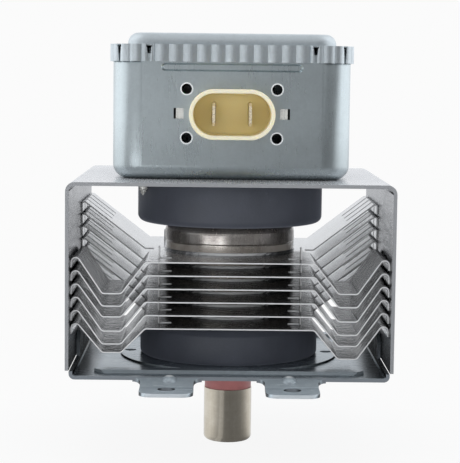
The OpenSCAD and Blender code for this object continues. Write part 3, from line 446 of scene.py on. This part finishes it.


# Painted shade on the ears, the bead, the flat top, the lugs' roots and the walls of the lugs' holes
def plate_shade(tree):
    point = tree.point()
    out = tree.size(point["Y"])
    ear = tree.smooth(tree.size(tree.normal()["X"]), *EAR_LEAN)
    hole = tree.smooth(plate_distance(tree, LUG_HOLE), *LUG_HOLE_R)
    flat = tree.smooth(tree.size(point["X"]), *PLATE_END, PLATE_SHADE, PLATE_END_SHADE)
    lug = tree.smooth(out, LUG_FROM, LUG_TIP, LUG_ROOT_SHADE, 1.0)
    rest = tree.smooth(out, LUG_FROM - BEAD_BLEND, LUG_FROM, BEAD_SHADE, lug)
    return tree.times(
        tree.between(ear, 1, EAR_SHADE),
        tree.between(hole, 1, LUG_HOLE_SHADE),
        tree.between(plate_flat(tree), rest, flat),
    )


# The sheared edges' colour, with a highlight painted on each lug's lip
def plate_edge(tree):
    tip = tree.smooth(tree.size(tree.point()["Y"]), LUG_TIP - LUG_BLEND, LUG_TIP)
    return tree.mix(tip, PLATE_EDGE, LUG_LIP_HIGHLIGHT)


def plate_boss_highlight(tree):
    """1 on the crown of each lug's boss, where a highlight is painted."""
    return tree.smooth(plate_distance(tree, BOSS), *BOSS_R)


def plate_metal(tree):
    return tree.between(plate_flat(tree), LUG_METAL, PLATE_METAL)


# The yoke: its top is duller than its walls. Painted shade and reflections darken the walls inside, most of
# all low down beside the ears
YOKE_TOP_LEAN = (0.2, 0.8)
YOKE_TOP_METAL = 0.5
YOKE_WALL_LEAN = (-0.5, -0.8)
YOKE_WALL_SHADE = 0.72
YOKE_FOOT = (10 * MM, 19 * MM)
YOKE_FOOT_SHADE = 0.3
YOKE_EDGE = rgb(148, 150, 153)


def yoke_metal(tree):
    return tree.smooth(tree.size(tree.normal()["Z"]), *YOKE_TOP_LEAN, 1.0, YOKE_TOP_METAL)


def yoke_shade(tree):
    point = tree.point()
    across = tree.times(tree.normal()["X"], tree.math("SIGN", point["X"]))
    level = tree.smooth(point["Z"], *YOKE_FOOT, YOKE_FOOT_SHADE, YOKE_WALL_SHADE)
    return tree.between(tree.smooth(across, *YOKE_WALL_LEAN), 1, level)


# The box: painted shade darkens it towards its foot, and a highlight is painted round each of the four holes
# beside the socket
BOX_LOW = (58 * MM, 74 * MM)
BOX_LOW_SHADE = 0.84
BOX_FRONT_LEAN = (-0.3, -0.5)
RIVET_HOLE = (12.6 * MM, 6.8 * MM)
HOLE_HIGHLIGHT_R = (1.94 * MM, 1.66 * MM)


def box_shade(tree):
    return tree.smooth(tree.point()["Z"], *BOX_LOW, BOX_LOW_SHADE, 1.0)


# A highlight painted round each hole's rim, on the front face
def box_hole_highlight(tree):
    low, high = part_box("connector_housing")
    point = tree.point()
    up = tree.size(tree.less(point["Z"], (low.z + high.z) / 2))
    away = tree.length(tree.less(tree.size(point["X"]), RIVET_HOLE[0]), tree.less(up, RIVET_HOLE[1]))
    return tree.times(tree.smooth(away, *HOLE_HIGHLIGHT_R), tree.smooth(tree.normal()["Y"], *BOX_FRONT_LEAN))


# Ferrite
FERRITE_GLOSS = 0.6
DUST_SHARE = 0.34
DUST_ROUGH = 0.6
DUST_TINT = (0.72, 0.78, 0.95, 1.0)
FERRITE_CLOUD = (0.09, 4, 0.6)
FERRITE_TONES = (0.78, 1.25)
FERRITE_ROUGH = (0.42, 0.6)
FERRITE_GRAIN = (3.0, 4, 0.65)
FERRITE_GRAIN_BAND = (0.35, 0.75)
FERRITE_GRAIN_SHARE = 0.35
FERRITE_GRAIN_TONE = 1.7
FERRITE_GRAIN_DEPTH = 0.5
PITS = 0.9
PIT_BAND = (0.04, 0.12)
PIT_DEPTH = 0.6
RUB = (0.35, 5, 0.7)
RUB_BAND = (0.63, 0.72)
RUB_SHARE = 0.35
RUB_TONE = 2.6
FERRITE_BUMP = 0.05 * MM
FERRITE_RELIEF = 0.6


def ferrite_material(name, colour):
    """Sintered ferrite: near black, dusty, with pits and pale rubbed spots."""
    tree, shader = new_material(name, 0.0, Specular_IOR_Level=FERRITE_GLOSS, Sheen_Weight=DUST_SHARE,
                                Sheen_Roughness=DUST_ROUGH, Sheen_Tint=DUST_TINT)
    cloud = tree.noise(*FERRITE_CLOUD)
    grain = tree.noise(*FERRITE_GRAIN)
    pits = tree.vary(tree.cells(PITS, "Distance"), 1, 0, PIT_BAND)
    rub = tree.vary(tree.noise(*RUB), 0, RUB_SHARE, RUB_BAND)
    pale = tree.vary(grain, 0, FERRITE_GRAIN_SHARE, FERRITE_GRAIN_BAND)
    base = tree.mix(tree.vary(cloud, 0, 1), *(scaled(colour, tone) for tone in FERRITE_TONES))
    base = tree.mix(pale, base, scaled(colour, FERRITE_GRAIN_TONE))
    base = tree.mix(rub, base, scaled(colour, RUB_TONE))
    tree.put(shader.inputs["Base Color"], base)
    tree.put(shader.inputs["Roughness"], tree.vary(cloud, *FERRITE_ROUGH))
    height = tree.less(tree.times(grain, FERRITE_GRAIN_DEPTH), tree.times(pits, PIT_DEPTH))
    add_bump(tree, shader, height, FERRITE_BUMP, FERRITE_RELIEF)


# Thermoset: the capacitor's filling and the socket
PLASTIC_GLOSS = 0.4
PLASTIC_ROUGH = (0.34, 0.5)
PLASTIC_GRAIN = (4.0, 3, 0.6)
PLASTIC_RELIEF = 0.5
PATCH = (0.12, 3, 0.5)
PATCH_BAND = (0.35, 0.65)
SPECK = (1.1, 2, 0.5)
SPECK_BAND = (0.66, 0.74)
FILLING_PATCH_SHARE = 0.5
FILLING_SPECK_SHARE = 0.35
FILLING_SPECK_TONE = 0.85
SOCKET_W = 23.6 * MM
SOCKET_H = 13.8 * MM
SOCKET_WALL = (0.9 * MM, 1.3 * MM)
SOCKET_DOWN = (0.3 * MM, 6 * MM)
SOCKET_FLOOR_LEAN = (-0.5, -0.9)
SOCKET_FLOOR_SHADE = 0.8
SOCKET_PATCH_SHARE = 0.16
SOCKET_PATCH_TONE = 0.9
SOCKET_SPECK_SHARE = 0.3
SOCKET_SPECK_TONE = 0.8
SOCKET_DEPTH_SHARE = 0.4
SOCKET_DEPTH_RADIUS = (1.0, 0.75, 0.35)
SOCKET_DEPTH = 2 * MM


def add_moulding(tree, shader, base, patch, patch_share, speck, speck_share):
    """Patches and specks of two other tones on a thermoset's base colour, and its fine texture."""
    grain = tree.noise(*PLASTIC_GRAIN)
    base = tree.mix(tree.vary(tree.noise(*PATCH), 0, patch_share, PATCH_BAND), base, patch)
    base = tree.mix(tree.vary(tree.noise(*SPECK), 0, speck_share, SPECK_BAND), base, speck)
    tree.put(shader.inputs["Base Color"], base)
    tree.put(shader.inputs["Roughness"], tree.vary(grain, *PLASTIC_ROUGH))
    add_bump(tree, shader, grain, RELIEF, PLASTIC_RELIEF)


def plastic_material(name, colour, deep):
    """Cast thermoset, warmer in patches."""
    tree, shader = new_material(name, 0.0, Specular_IOR_Level=PLASTIC_GLOSS)
    add_moulding(tree, shader, colour, deep, FILLING_PATCH_SHARE, scaled(deep, FILLING_SPECK_TONE),
                 FILLING_SPECK_SHARE)


def socket_material(name, rim, deep):
    """The connector's thermoset: pale outside and on the rim, deeper in colour down inside the socket, with
    painted shade on the socket's floor.
    """
    tree, shader = new_material(
        name, 0.0, Specular_IOR_Level=PLASTIC_GLOSS, Subsurface_Weight=SOCKET_DEPTH_SHARE,
        Subsurface_Radius=SOCKET_DEPTH_RADIUS, Subsurface_Scale=SOCKET_DEPTH)
    low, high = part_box("connector_housing")
    point = tree.point()
    half = (SOCKET_W - SOCKET_H) / 2
    over = tree.math("MAXIMUM", tree.less(tree.size(point["X"]), half), 0.0)
    away = tree.length(over, tree.less(point["Z"], (low.z + high.z) / 2))
    inside = tree.smooth(away, SOCKET_H / 2 - SOCKET_WALL[0], SOCKET_H / 2 - SOCKET_WALL[1])
    inside = tree.times(inside, tree.smooth(point["Y"], low.y + SOCKET_DOWN[0], low.y + SOCKET_DOWN[1]))
    floor = tree.times(inside, tree.smooth(tree.normal()["Y"], *SOCKET_FLOOR_LEAN))
    base = tree.mix(inside, rim, deep)
    base = tree.mix(floor, base, scaled(deep, SOCKET_FLOOR_SHADE))
    add_moulding(tree, shader, base, scaled(deep, SOCKET_PATCH_TONE), SOCKET_PATCH_SHARE,
                 scaled(deep, SOCKET_SPECK_TONE), SOCKET_SPECK_SHARE)


# Ceramic
CERAMIC_GLOSS = 0.5
CERAMIC_CLOUD = (0.3, 3, 0.5)
CERAMIC_TONES = (0.88, 1.1)
CERAMIC_GRAIN = (6.0, 4, 0.6)
CERAMIC_GRAIN_BAND = (0.5, 0.8)
CERAMIC_GRAIN_SHARE = 0.3
CERAMIC_GRAIN_TONE = 1.35
CERAMIC_RINGS = (1.5, 2, 0.5, (0.15, 0.15, 1))
CERAMIC_ROUGH = (0.36, 0.52)
CERAMIC_BUMP = 0.03 * MM
CERAMIC_RELIEF = 0.5


def ceramic_material(name, colour):
    """Unglazed alumina with chrome in it: pink, finely grained."""
    tree, shader = new_material(name, 0.0, Specular_IOR_Level=CERAMIC_GLOSS)
    cloud = tree.noise(*CERAMIC_CLOUD)
    grain = tree.noise(*CERAMIC_GRAIN)
    rings = tree.noise(*CERAMIC_RINGS)
    pale = tree.vary(grain, 0, CERAMIC_GRAIN_SHARE, CERAMIC_GRAIN_BAND)
    base = tree.mix(tree.vary(cloud, 0, 1), *(scaled(colour, tone) for tone in CERAMIC_TONES))
    base = tree.mix(pale, base, scaled(colour, CERAMIC_GRAIN_TONE))
    tree.put(shader.inputs["Base Color"], base)
    tree.put(shader.inputs["Roughness"], tree.vary(rings, *CERAMIC_ROUGH))
    add_bump(tree, shader, tree.add(grain, rings), CERAMIC_BUMP, CERAMIC_RELIEF)


# Turned metal
HEAT = (0.16, 4, 0.6)
HEAT_BAND = (0.4, 0.62)
HEAT_ROUGH = (-0.03, 0.06)
HEAT_ROUGH_BAND = (0.35, 0.7)
RINGS = (2.4, 2, 0.5, (0.05, 0.05, 1))
RING_TONE = 0.5
DRAWN = (1.3, 3, 0.6, (1, 1, 0.05))
DRAWN_ROUGH = 0.05
SIDE_LEAN = (0.4, 0.85)


def turned_metal(name, colour, rough, heat=None, spread=0.12, metal=1.0, draw=1.0, sides=None,
                 relief=0.4):
    """Turned or drawn round metal: rings round the axis, streaks along it as `draw` says, and heat tint.

    `spread` is how far its tone varies, and `sides` how metallic it is on its left and right."""
    tree, shader = new_material(name, metal)
    if sides is not None:
        across = tree.size(tree.normal()["X"])
        tree.put(shader.inputs["Metallic"], tree.smooth(across, *SIDE_LEAN, metal, sides))
    cloud = tree.noise(*HEAT)
    rings = tree.noise(*RINGS)
    drawn = tree.noise(*DRAWN)
    tone = tree.add(
        tree.vary(rings, 1 - spread * RING_TONE, 1 + spread * RING_TONE),
        tree.vary(drawn, -spread * draw, spread * draw),
    )
    body = colour if heat is None else tree.mix(tree.vary(cloud, 0, 1, HEAT_BAND), colour, heat)
    tree.put(shader.inputs["Base Color"], tree.mix(1.0, body, tree.grey(tone), "MULTIPLY"))
    roughness = tree.add(
        tree.vary(drawn, rough - DRAWN_ROUGH * draw, rough + DRAWN_ROUGH * draw),
        tree.vary(cloud, *HEAT_ROUGH, HEAT_ROUGH_BAND),
    )
    tree.put(shader.inputs["Roughness"], roughness)
    add_bump(tree, shader, tree.add(rings, tree.times(drawn, draw)), RELIEF, relief)


# One material for each of the record's slots, under the slot's name
UPRIGHT_GRAIN = (1, 1, 0.06)
ALONG_Y_GRAIN = (1, 0.06, 1)
ALONG_X_GRAIN = (0.06, 1, 1)
sheet_metal("zinc_box", rgb(202, 212, 215), rough=0.3, grain=UPRIGHT_GRAIN, spread=0.03, spangle=0.015,
            scratch=0.02, relief=0.04, shade=box_shade, painted_highlight=box_hole_highlight)
sheet_metal("zinc_lid", rgb(214, 222, 226), rough=0.48, grain=ALONG_X_GRAIN, spread=0.04, spangle=0.02,
            scratch=0.2, relief=0.25)
socket_material("cream_plastic", rim=rgb(222, 217, 196), deep=rgb(246, 228, 166))
sheet_metal("tinned_brass", rgb(236, 222, 194), rough=0.3, grain=ALONG_Y_GRAIN, spread=0.08, spangle=0.02,
            scratch=0.8, metal=0.6)
turned_metal("bright_steel", rgb(232, 232, 228), rough=0.24, metal=0.5)
plastic_material("epoxy", rgb(220, 202, 160), deep=rgb(190, 160, 104))
turned_metal("enamel_copper", rgb(176, 92, 48), rough=0.25)
ferrite_material("ferrite", rgb(55, 58, 66))
sheet_metal("yoke_steel", rgb(212, 213, 216), rough=0.26, grain=ALONG_Y_GRAIN, spread=0.03, spangle=0.01,
            scratch=0.12, relief=0.03, edge=YOKE_EDGE, shade=yoke_shade, dull=yoke_metal)
sheet_metal("zinc_plate", rgb(190, 202, 210), rough=0.24, grain=ALONG_X_GRAIN, spread=0.06, spangle=0.04,
            scratch=0.4, relief=0.2, edge=plate_edge, shade=plate_shade, dull=plate_metal, painted_highlight=plate_boss_highlight)
turned_metal("anode_copper", rgb(208, 201, 192), rough=0.25, heat=rgb(182, 173, 164), spread=0.08,
             metal=0.78, draw=0.05, sides=0.35)
turned_metal("bare_copper", rgb(206, 128, 92), rough=0.3)
turned_metal("seal_metal", rgb(200, 195, 189), rough=0.2, heat=rgb(170, 163, 158), spread=0.1, metal=0.85)
turned_metal("refractory_metal", rgb(140, 140, 144), rough=0.34)
ceramic_material("pink_ceramic", rgb(172, 108, 107))
turned_metal("nickel_cap", rgb(224, 216, 200), rough=0.1, heat=rgb(212, 203, 186), spread=0.03,
             relief=0.12)
turned_metal("wire_mesh", rgb(190, 186, 172), rough=0.3)
sheet_metal("fin_aluminium", rgb(212, 213, 214), rough=0.2, grain=ALONG_Y_GRAIN, spread=0.05, spangle=0.0,
            scratch=0.5, metal=0.75, edge=FIN_EDGE, shade=fin_shade, wave=fin_wave)
for piece in frame["record"]["subparts"]:
    slots = nodes[piece["node"]].data.materials
    slots.clear()
    slots.append(materials[piece["material_slot"]])


# Pieces that only the visual model has: the screws' threads and the gasket's wires. GASKET_BULK squares off
# the gasket's section, which would be an ellipse at 2
SCREW_AT = ((25 * MM, 15.3 * MM), (-25 * MM, -15.3 * MM))
SCREW_R = 1.2 * MM
SCREW_CONE = 2 * MM
THREAD_PITCH = 0.8 * MM
THREAD_UP = (0.5 * MM, 4.3 * MM)
THREAD_OUT = 0.22 * MM
THREAD_ROOT = -0.05 * MM
THREAD_HALF = 0.3 * THREAD_PITCH
THREAD_STEPS = 28
THREAD_FADE = THREAD_STEPS // 2
GASKET_IN = 10.7 * MM
GASKET_BULK = 3.2
WIRE_R = 0.15 * MM
WIRES = 13
WIRE_TURNS = 11
WIRE_STEPS = 340
WIRE_SIDES = 5


def add_piece(name, shape, slot):
    """A mesh that rides on the part and takes the finish of one of the record's slots."""
    bmesh.ops.recalc_face_normals(shape, faces=shape.faces[:])
    mesh = bpy.data.meshes.new(name)
    shape.to_mesh(mesh)
    shape.free()
    mesh.materials.append(materials[slot])
    piece = bpy.data.objects.new(name, mesh)
    scene.collection.objects.link(piece)
    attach(piece, "root")
    return piece


def join_rings(shape, rings, closed):
    """Faces between neighbouring rings of points, and between the last and the first when it is closed."""
    count = len(rings)
    for i in range(count if closed else count - 1):
        here, after = rings[i], rings[(i + 1) % count]
        for k in range(len(here)):
            n = (k + 1) % len(here)
            shape.faces.new((here[k], here[n], after[n], after[k]))


def add_threads():
    """A ridge that winds up each screw, runs out at both ends and follows the point's cone."""
    shape = bmesh.new()
    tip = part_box("box_screws")[0].z
    turns = (THREAD_UP[1] - THREAD_UP[0]) / THREAD_PITCH
    steps = int(turns * THREAD_STEPS)
    for x, y in SCREW_AT:
        rings = []
        for i in range(steps + 1):
            angle = 2 * math.pi * i / THREAD_STEPS
            up = THREAD_UP[0] + THREAD_PITCH * i / THREAD_STEPS
            core = SCREW_R * min(up / SCREW_CONE, 1.0)
            crest = THREAD_OUT * (min(i, steps - i, THREAD_FADE) / THREAD_FADE)
            ring = []
            for out, lift in ((THREAD_ROOT, -THREAD_HALF), (crest, 0.0), (THREAD_ROOT, THREAD_HALF)):
                r = core + out
                at = (x + r * math.cos(angle), y + r * math.sin(angle), tip + up + lift)
                ring.append(shape.verts.new(at))
            rings.append(ring)
        join_rings(shape, rings, closed=False)
        shape.faces.new(rings[0])
        shape.faces.new(rings[-1])
    add_piece("screw_threads", shape, "bright_steel")


def gasket_point(box, around, over):
    """A point on the gasket's rounded section: `around` the antenna, `over` the section."""
    low, high = box
    wide = (high.x - GASKET_IN) / 2
    tall = (high.z - low.z) / 2
    c, s = math.cos(over), math.sin(over)
    bulk = (abs(c) ** GASKET_BULK + abs(s) ** GASKET_BULK) ** (-1 / GASKET_BULK)
    r = (high.x + GASKET_IN) / 2 + wide * c * bulk
    return Vector((r * math.cos(around), r * math.sin(around), (low.z + high.z) / 2 + tall * s * bulk))


def add_gasket_wires():
    """Two crossing families of thin wires, wound on the gasket's core."""
    shape = bmesh.new()
    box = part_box("gasket_ring")
    for way in (-1, 1):
        for wire in range(WIRES):
            start = 2 * math.pi * wire / WIRES
            path = []
            for i in range(WIRE_STEPS):
                around = 2 * math.pi * i / WIRE_STEPS
                path.append(gasket_point(box, around, start + way * WIRE_TURNS * around))
            rings = []
            for i, at in enumerate(path):
                along = (path[(i + 1) % WIRE_STEPS] - path[i - 1]).normalized()
                side = along.cross(Vector((at.x, at.y, 0)).normalized()).normalized()
                up = along.cross(side)
                ring = []
                for k in range(WIRE_SIDES):
                    turn = 2 * math.pi * k / WIRE_SIDES
                    ring.append(shape.verts.new(at + WIRE_R * (math.cos(turn) * side + math.sin(turn) * up)))
                rings.append(ring)
            join_rings(shape, rings, closed=True)
    piece = add_piece("gasket_wires", shape, "wire_mesh")
    piece.data.polygons.foreach_set("use_smooth", [True] * len(piece.data.polygons))


add_threads()
add_gasket_wires()


# Edges: the sheared, ground or moulded edges of each of these nodes are eased by its width
EASED = {
    "yoke_frame": 0.14 * MM, "base_plate": 0.16 * MM, "filter_box": 0.28 * MM, "connector_housing": 0.4 * MM,
    "terminal_blade_left": 0.14 * MM, "terminal_blade_right": 0.14 * MM, "capacitor_plate": 0.1 * MM,
    "filter_box_lid": 0.14 * MM, "upper_magnet": 0.3 * MM, "lower_magnet": 0.3 * MM,
    "antenna_ceramic": 0.15 * MM,
}
FINS = 6
FIN_EASED = 0.07 * MM
EASED.update({f"cooling_fin_{k}": FIN_EASED for k in range(1, FINS + 1)})
EASED_FROM = math.radians(40)
EASED_STEPS = 2
WELD_GAP = 0.001 * MM


def ease_edges(piece, width):
    """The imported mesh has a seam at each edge, so it is welded before its edges are bevelled."""
    weld = piece.modifiers.new("weld", "WELD")
    weld.merge_threshold = WELD_GAP
    bevel = piece.modifiers.new("eased_edges", "BEVEL")
    bevel.limit_method = "ANGLE"
    bevel.angle_limit = EASED_FROM
    bevel.width = width
    bevel.segments = EASED_STEPS
    bevel.use_clamp_overlap = True
    bevel.harden_normals = True
    bevel.miter_outer = "MITER_ARC"


for name, width in EASED.items():
    ease_edges(nodes[name], width)


# Room: its tone depends on the direction. Each lobe: direction, cosine where it starts, cosine where it is
# full, and its level; the brightest one counts
ROOM_COLOUR = rgb(250, 252, 255)
ROOM_LEFT = 0.54
ROOM_RIGHT = 0.25
ROOM_TURN = 0.16
ROOM_LOBES = (
    ((0, 1, 0.05), 0.1, 0.7, 1.0),
    ((-0.94, 0.3, 0.08), 0.6, 0.95, 1.3),
    ((-0.75, 0.25, 0.6), 0.8, 0.95, 1.35),
    ((0.75, 0.3, 0.6), 0.8, 0.95, 1.35),
    ((0.95, 0.3, 0.05), 0.5, 0.95, 1.3),
    ((0.93, -0.37, 0.0), 0.955, 0.995, 0.9),
    ((0, -0.2, 0.98), 0.4, 0.9, 0.68),
)


def lobe(tree, towards, direction, start, full, amount):
    """0 where a unit vector points far from the lobe's direction, `amount` where it points close to it."""
    along = tree.node("ShaderNodeVectorMath", operation="DOT_PRODUCT")
    tree.put(along.inputs[0], towards)
    tree.put(along.inputs[1], Vector(direction).normalized())
    return tree.smooth(along.outputs["Value"], start, full, 0.0, amount)


def room_level(tree, towards):
    """The room's tone in the direction of a unit vector."""
    across = tree.node("ShaderNodeSeparateXYZ", {"Vector": towards}).outputs["X"]
    level = tree.smooth(across, -ROOM_TURN, ROOM_TURN, ROOM_LEFT, ROOM_RIGHT)
    for shape in ROOM_LOBES:
        level = tree.math("MAXIMUM", lobe(tree, towards, *shape), level)
    return level


# Stage: a pale floor under the antenna. Its tones in the part's reflections are painted: for reflected rays
# it glows, dark close in front, more so on the right, and further out in the room's tone. A painted patch of
# glare lies on it in front, on the left, with a faint line that leads to it
FLOOR_GAP = 0.2 * MM
FLOOR_Z = cad_box[0][2] - FLOOR_GAP
FLOOR_REACH = 4.0
FLOOR_CUTS = 3
FLOOR_COLOUR = rgb(246, 246, 246)
BACKGROUND = rgb(251, 251, 251)
WHITE_LEVEL = 1.0
SHADOW_SHARE = 0.07
SHADOW_REACH = (0.04, 0.2)
DARK_TILT = 0.4
DARK_REACH = (-1.1, 0.4)
DARK_LEVEL = 0.17
FLOOR_LEVEL = 0.85
ROOM_REACH = (0.1, 0.75)
GLARE_ALONG = (-0.47, -0.88, 0.0)
GLARE = (0.9, 0.985)
GLARE_NEAR = (0.22, 0.4)
GLARE_FAR = (0.8, 0.7)
GLARE_LEVEL = 2.8
LINE = (0.975, 0.996)
LINE_LEVEL = 0.16


def floor_level(tree, point, away):
    """The painted tone that the floor glows with in the part's reflections."""
    behind = tree.less(point["Y"], tree.times(point["X"], DARK_TILT))
    near = tree.smooth(tree.math("DIVIDE", behind, away), *DARK_REACH, DARK_LEVEL, FLOOR_LEVEL)
    flat = tree.node("ShaderNodeCombineXYZ", {"X": point["X"], "Y": point["Y"]}).outputs["Vector"]
    towards = tree.unit(flat)
    near = tree.add(near, lobe(tree, towards, GLARE_ALONG, *LINE, LINE_LEVEL))
    level = tree.between(tree.smooth(away, *ROOM_REACH), near, room_level(tree, towards))
    glare = tree.times(
        lobe(tree, towards, GLARE_ALONG, *GLARE, GLARE_LEVEL),
        tree.smooth(away, *GLARE_NEAR),
        tree.smooth(away, *GLARE_FAR),
    )
    return tree.math("MAXIMUM", level, glare)


def floor_material(name):
    """The camera sees the background, with a little of the part's shadow; metal mirrors the room's tones."""
    material, tree = blank_material(name)
    path = tree.node("ShaderNodeLightPath").outputs
    point = tree.point()
    away = tree.length(point["X"], point["Y"])
    paper = tree.node("ShaderNodeBsdfDiffuse", {"Color": FLOOR_COLOUR})
    glow = tree.node("ShaderNodeEmission", {"Color": BACKGROUND, "Strength": WHITE_LEVEL})
    share = tree.smooth(away, *SHADOW_REACH, 1 - SHADOW_SHARE, 1.0)
    seen = tree.mix_shader(tree.times(path["Is Camera Ray"], share), paper, glow)
    level = floor_level(tree, point, away)
    mirror = tree.node("ShaderNodeEmission", {"Color": ROOM_COLOUR, "Strength": level})
    tree.output("ShaderNodeOutputMaterial", tree.mix_shader(path["Is Glossy Ray"], seen, mirror))
    return material


def add_stage():
    mesh = bpy.data.meshes.new("floor")
    shape = bmesh.new()
    r = FLOOR_REACH
    corners = [shape.verts.new((x, y, FLOOR_Z)) for x, y in ((-r, -r), (r, -r), (r, r), (-r, r))]
    shape.faces.new(corners)
    bmesh.ops.subdivide_edges(shape, edges=shape.edges[:], cuts=FLOOR_CUTS, use_grid_fill=True)
    shape.to_mesh(mesh)
    shape.free()
    mesh.materials.append(floor_material("floor_paper"))
    floor = bpy.data.objects.new("floor", mesh)
    scene.collection.objects.link(floor)


add_stage()


def add_world():
    """The room for light and reflections, and the white background for the camera."""
    world = bpy.data.worlds.new("studio")
    scene.world = world
    world.use_nodes = True
    tree = Tree(world.node_tree)
    towards = tree.unit(tree.node("ShaderNodeTexCoord").outputs["Generated"])
    room = tree.node("ShaderNodeBackground", {"Color": ROOM_COLOUR, "Strength": room_level(tree, towards)})
    seen = tree.node("ShaderNodeBackground", {"Color": BACKGROUND, "Strength": WHITE_LEVEL})
    path = tree.node("ShaderNodeLightPath").outputs
    tree.output("ShaderNodeOutputWorld", tree.mix_shader(path["Is Camera Ray"], room, seen))


add_world()


# Lamps: place, width, height and power in watts
SOFTBOXES = {
    "key_softbox": ((-0.1, -1.2, 0.14), 1.7, 0.4, 5.6),
    "left_softbox": ((-1.05, -0.5, 0.2), 0.5, 0.5, 1.2),
    "right_softbox": ((1.05, -0.5, 0.2), 0.5, 0.5, 1.2),
    "top_softbox": ((0, -0.1, 0.95), 0.9, 0.9, 2.5),
}
SOFTBOX_AIM = Vector((0, 0, 0.04))


def add_softbox(name, at, width, height, power):
    """A large lamp that lights the floor and the dull pieces, and isn't mirrored as a hot stripe."""
    light = bpy.data.lights.new(name, "AREA")
    light.shape = "RECTANGLE"
    light.size = width
    light.size_y = height
    light.energy = power
    lamp = bpy.data.objects.new(name, light)
    towards = (SOFTBOX_AIM - Vector(at)).to_track_quat("-Z", "Y")
    lamp.matrix_world = Matrix.Translation(at) @ towards.to_matrix().to_4x4()
    lamp.visible_glossy = False
    scene.collection.objects.link(lamp)


for name, softbox in SOFTBOXES.items():
    add_softbox(name, *softbox)
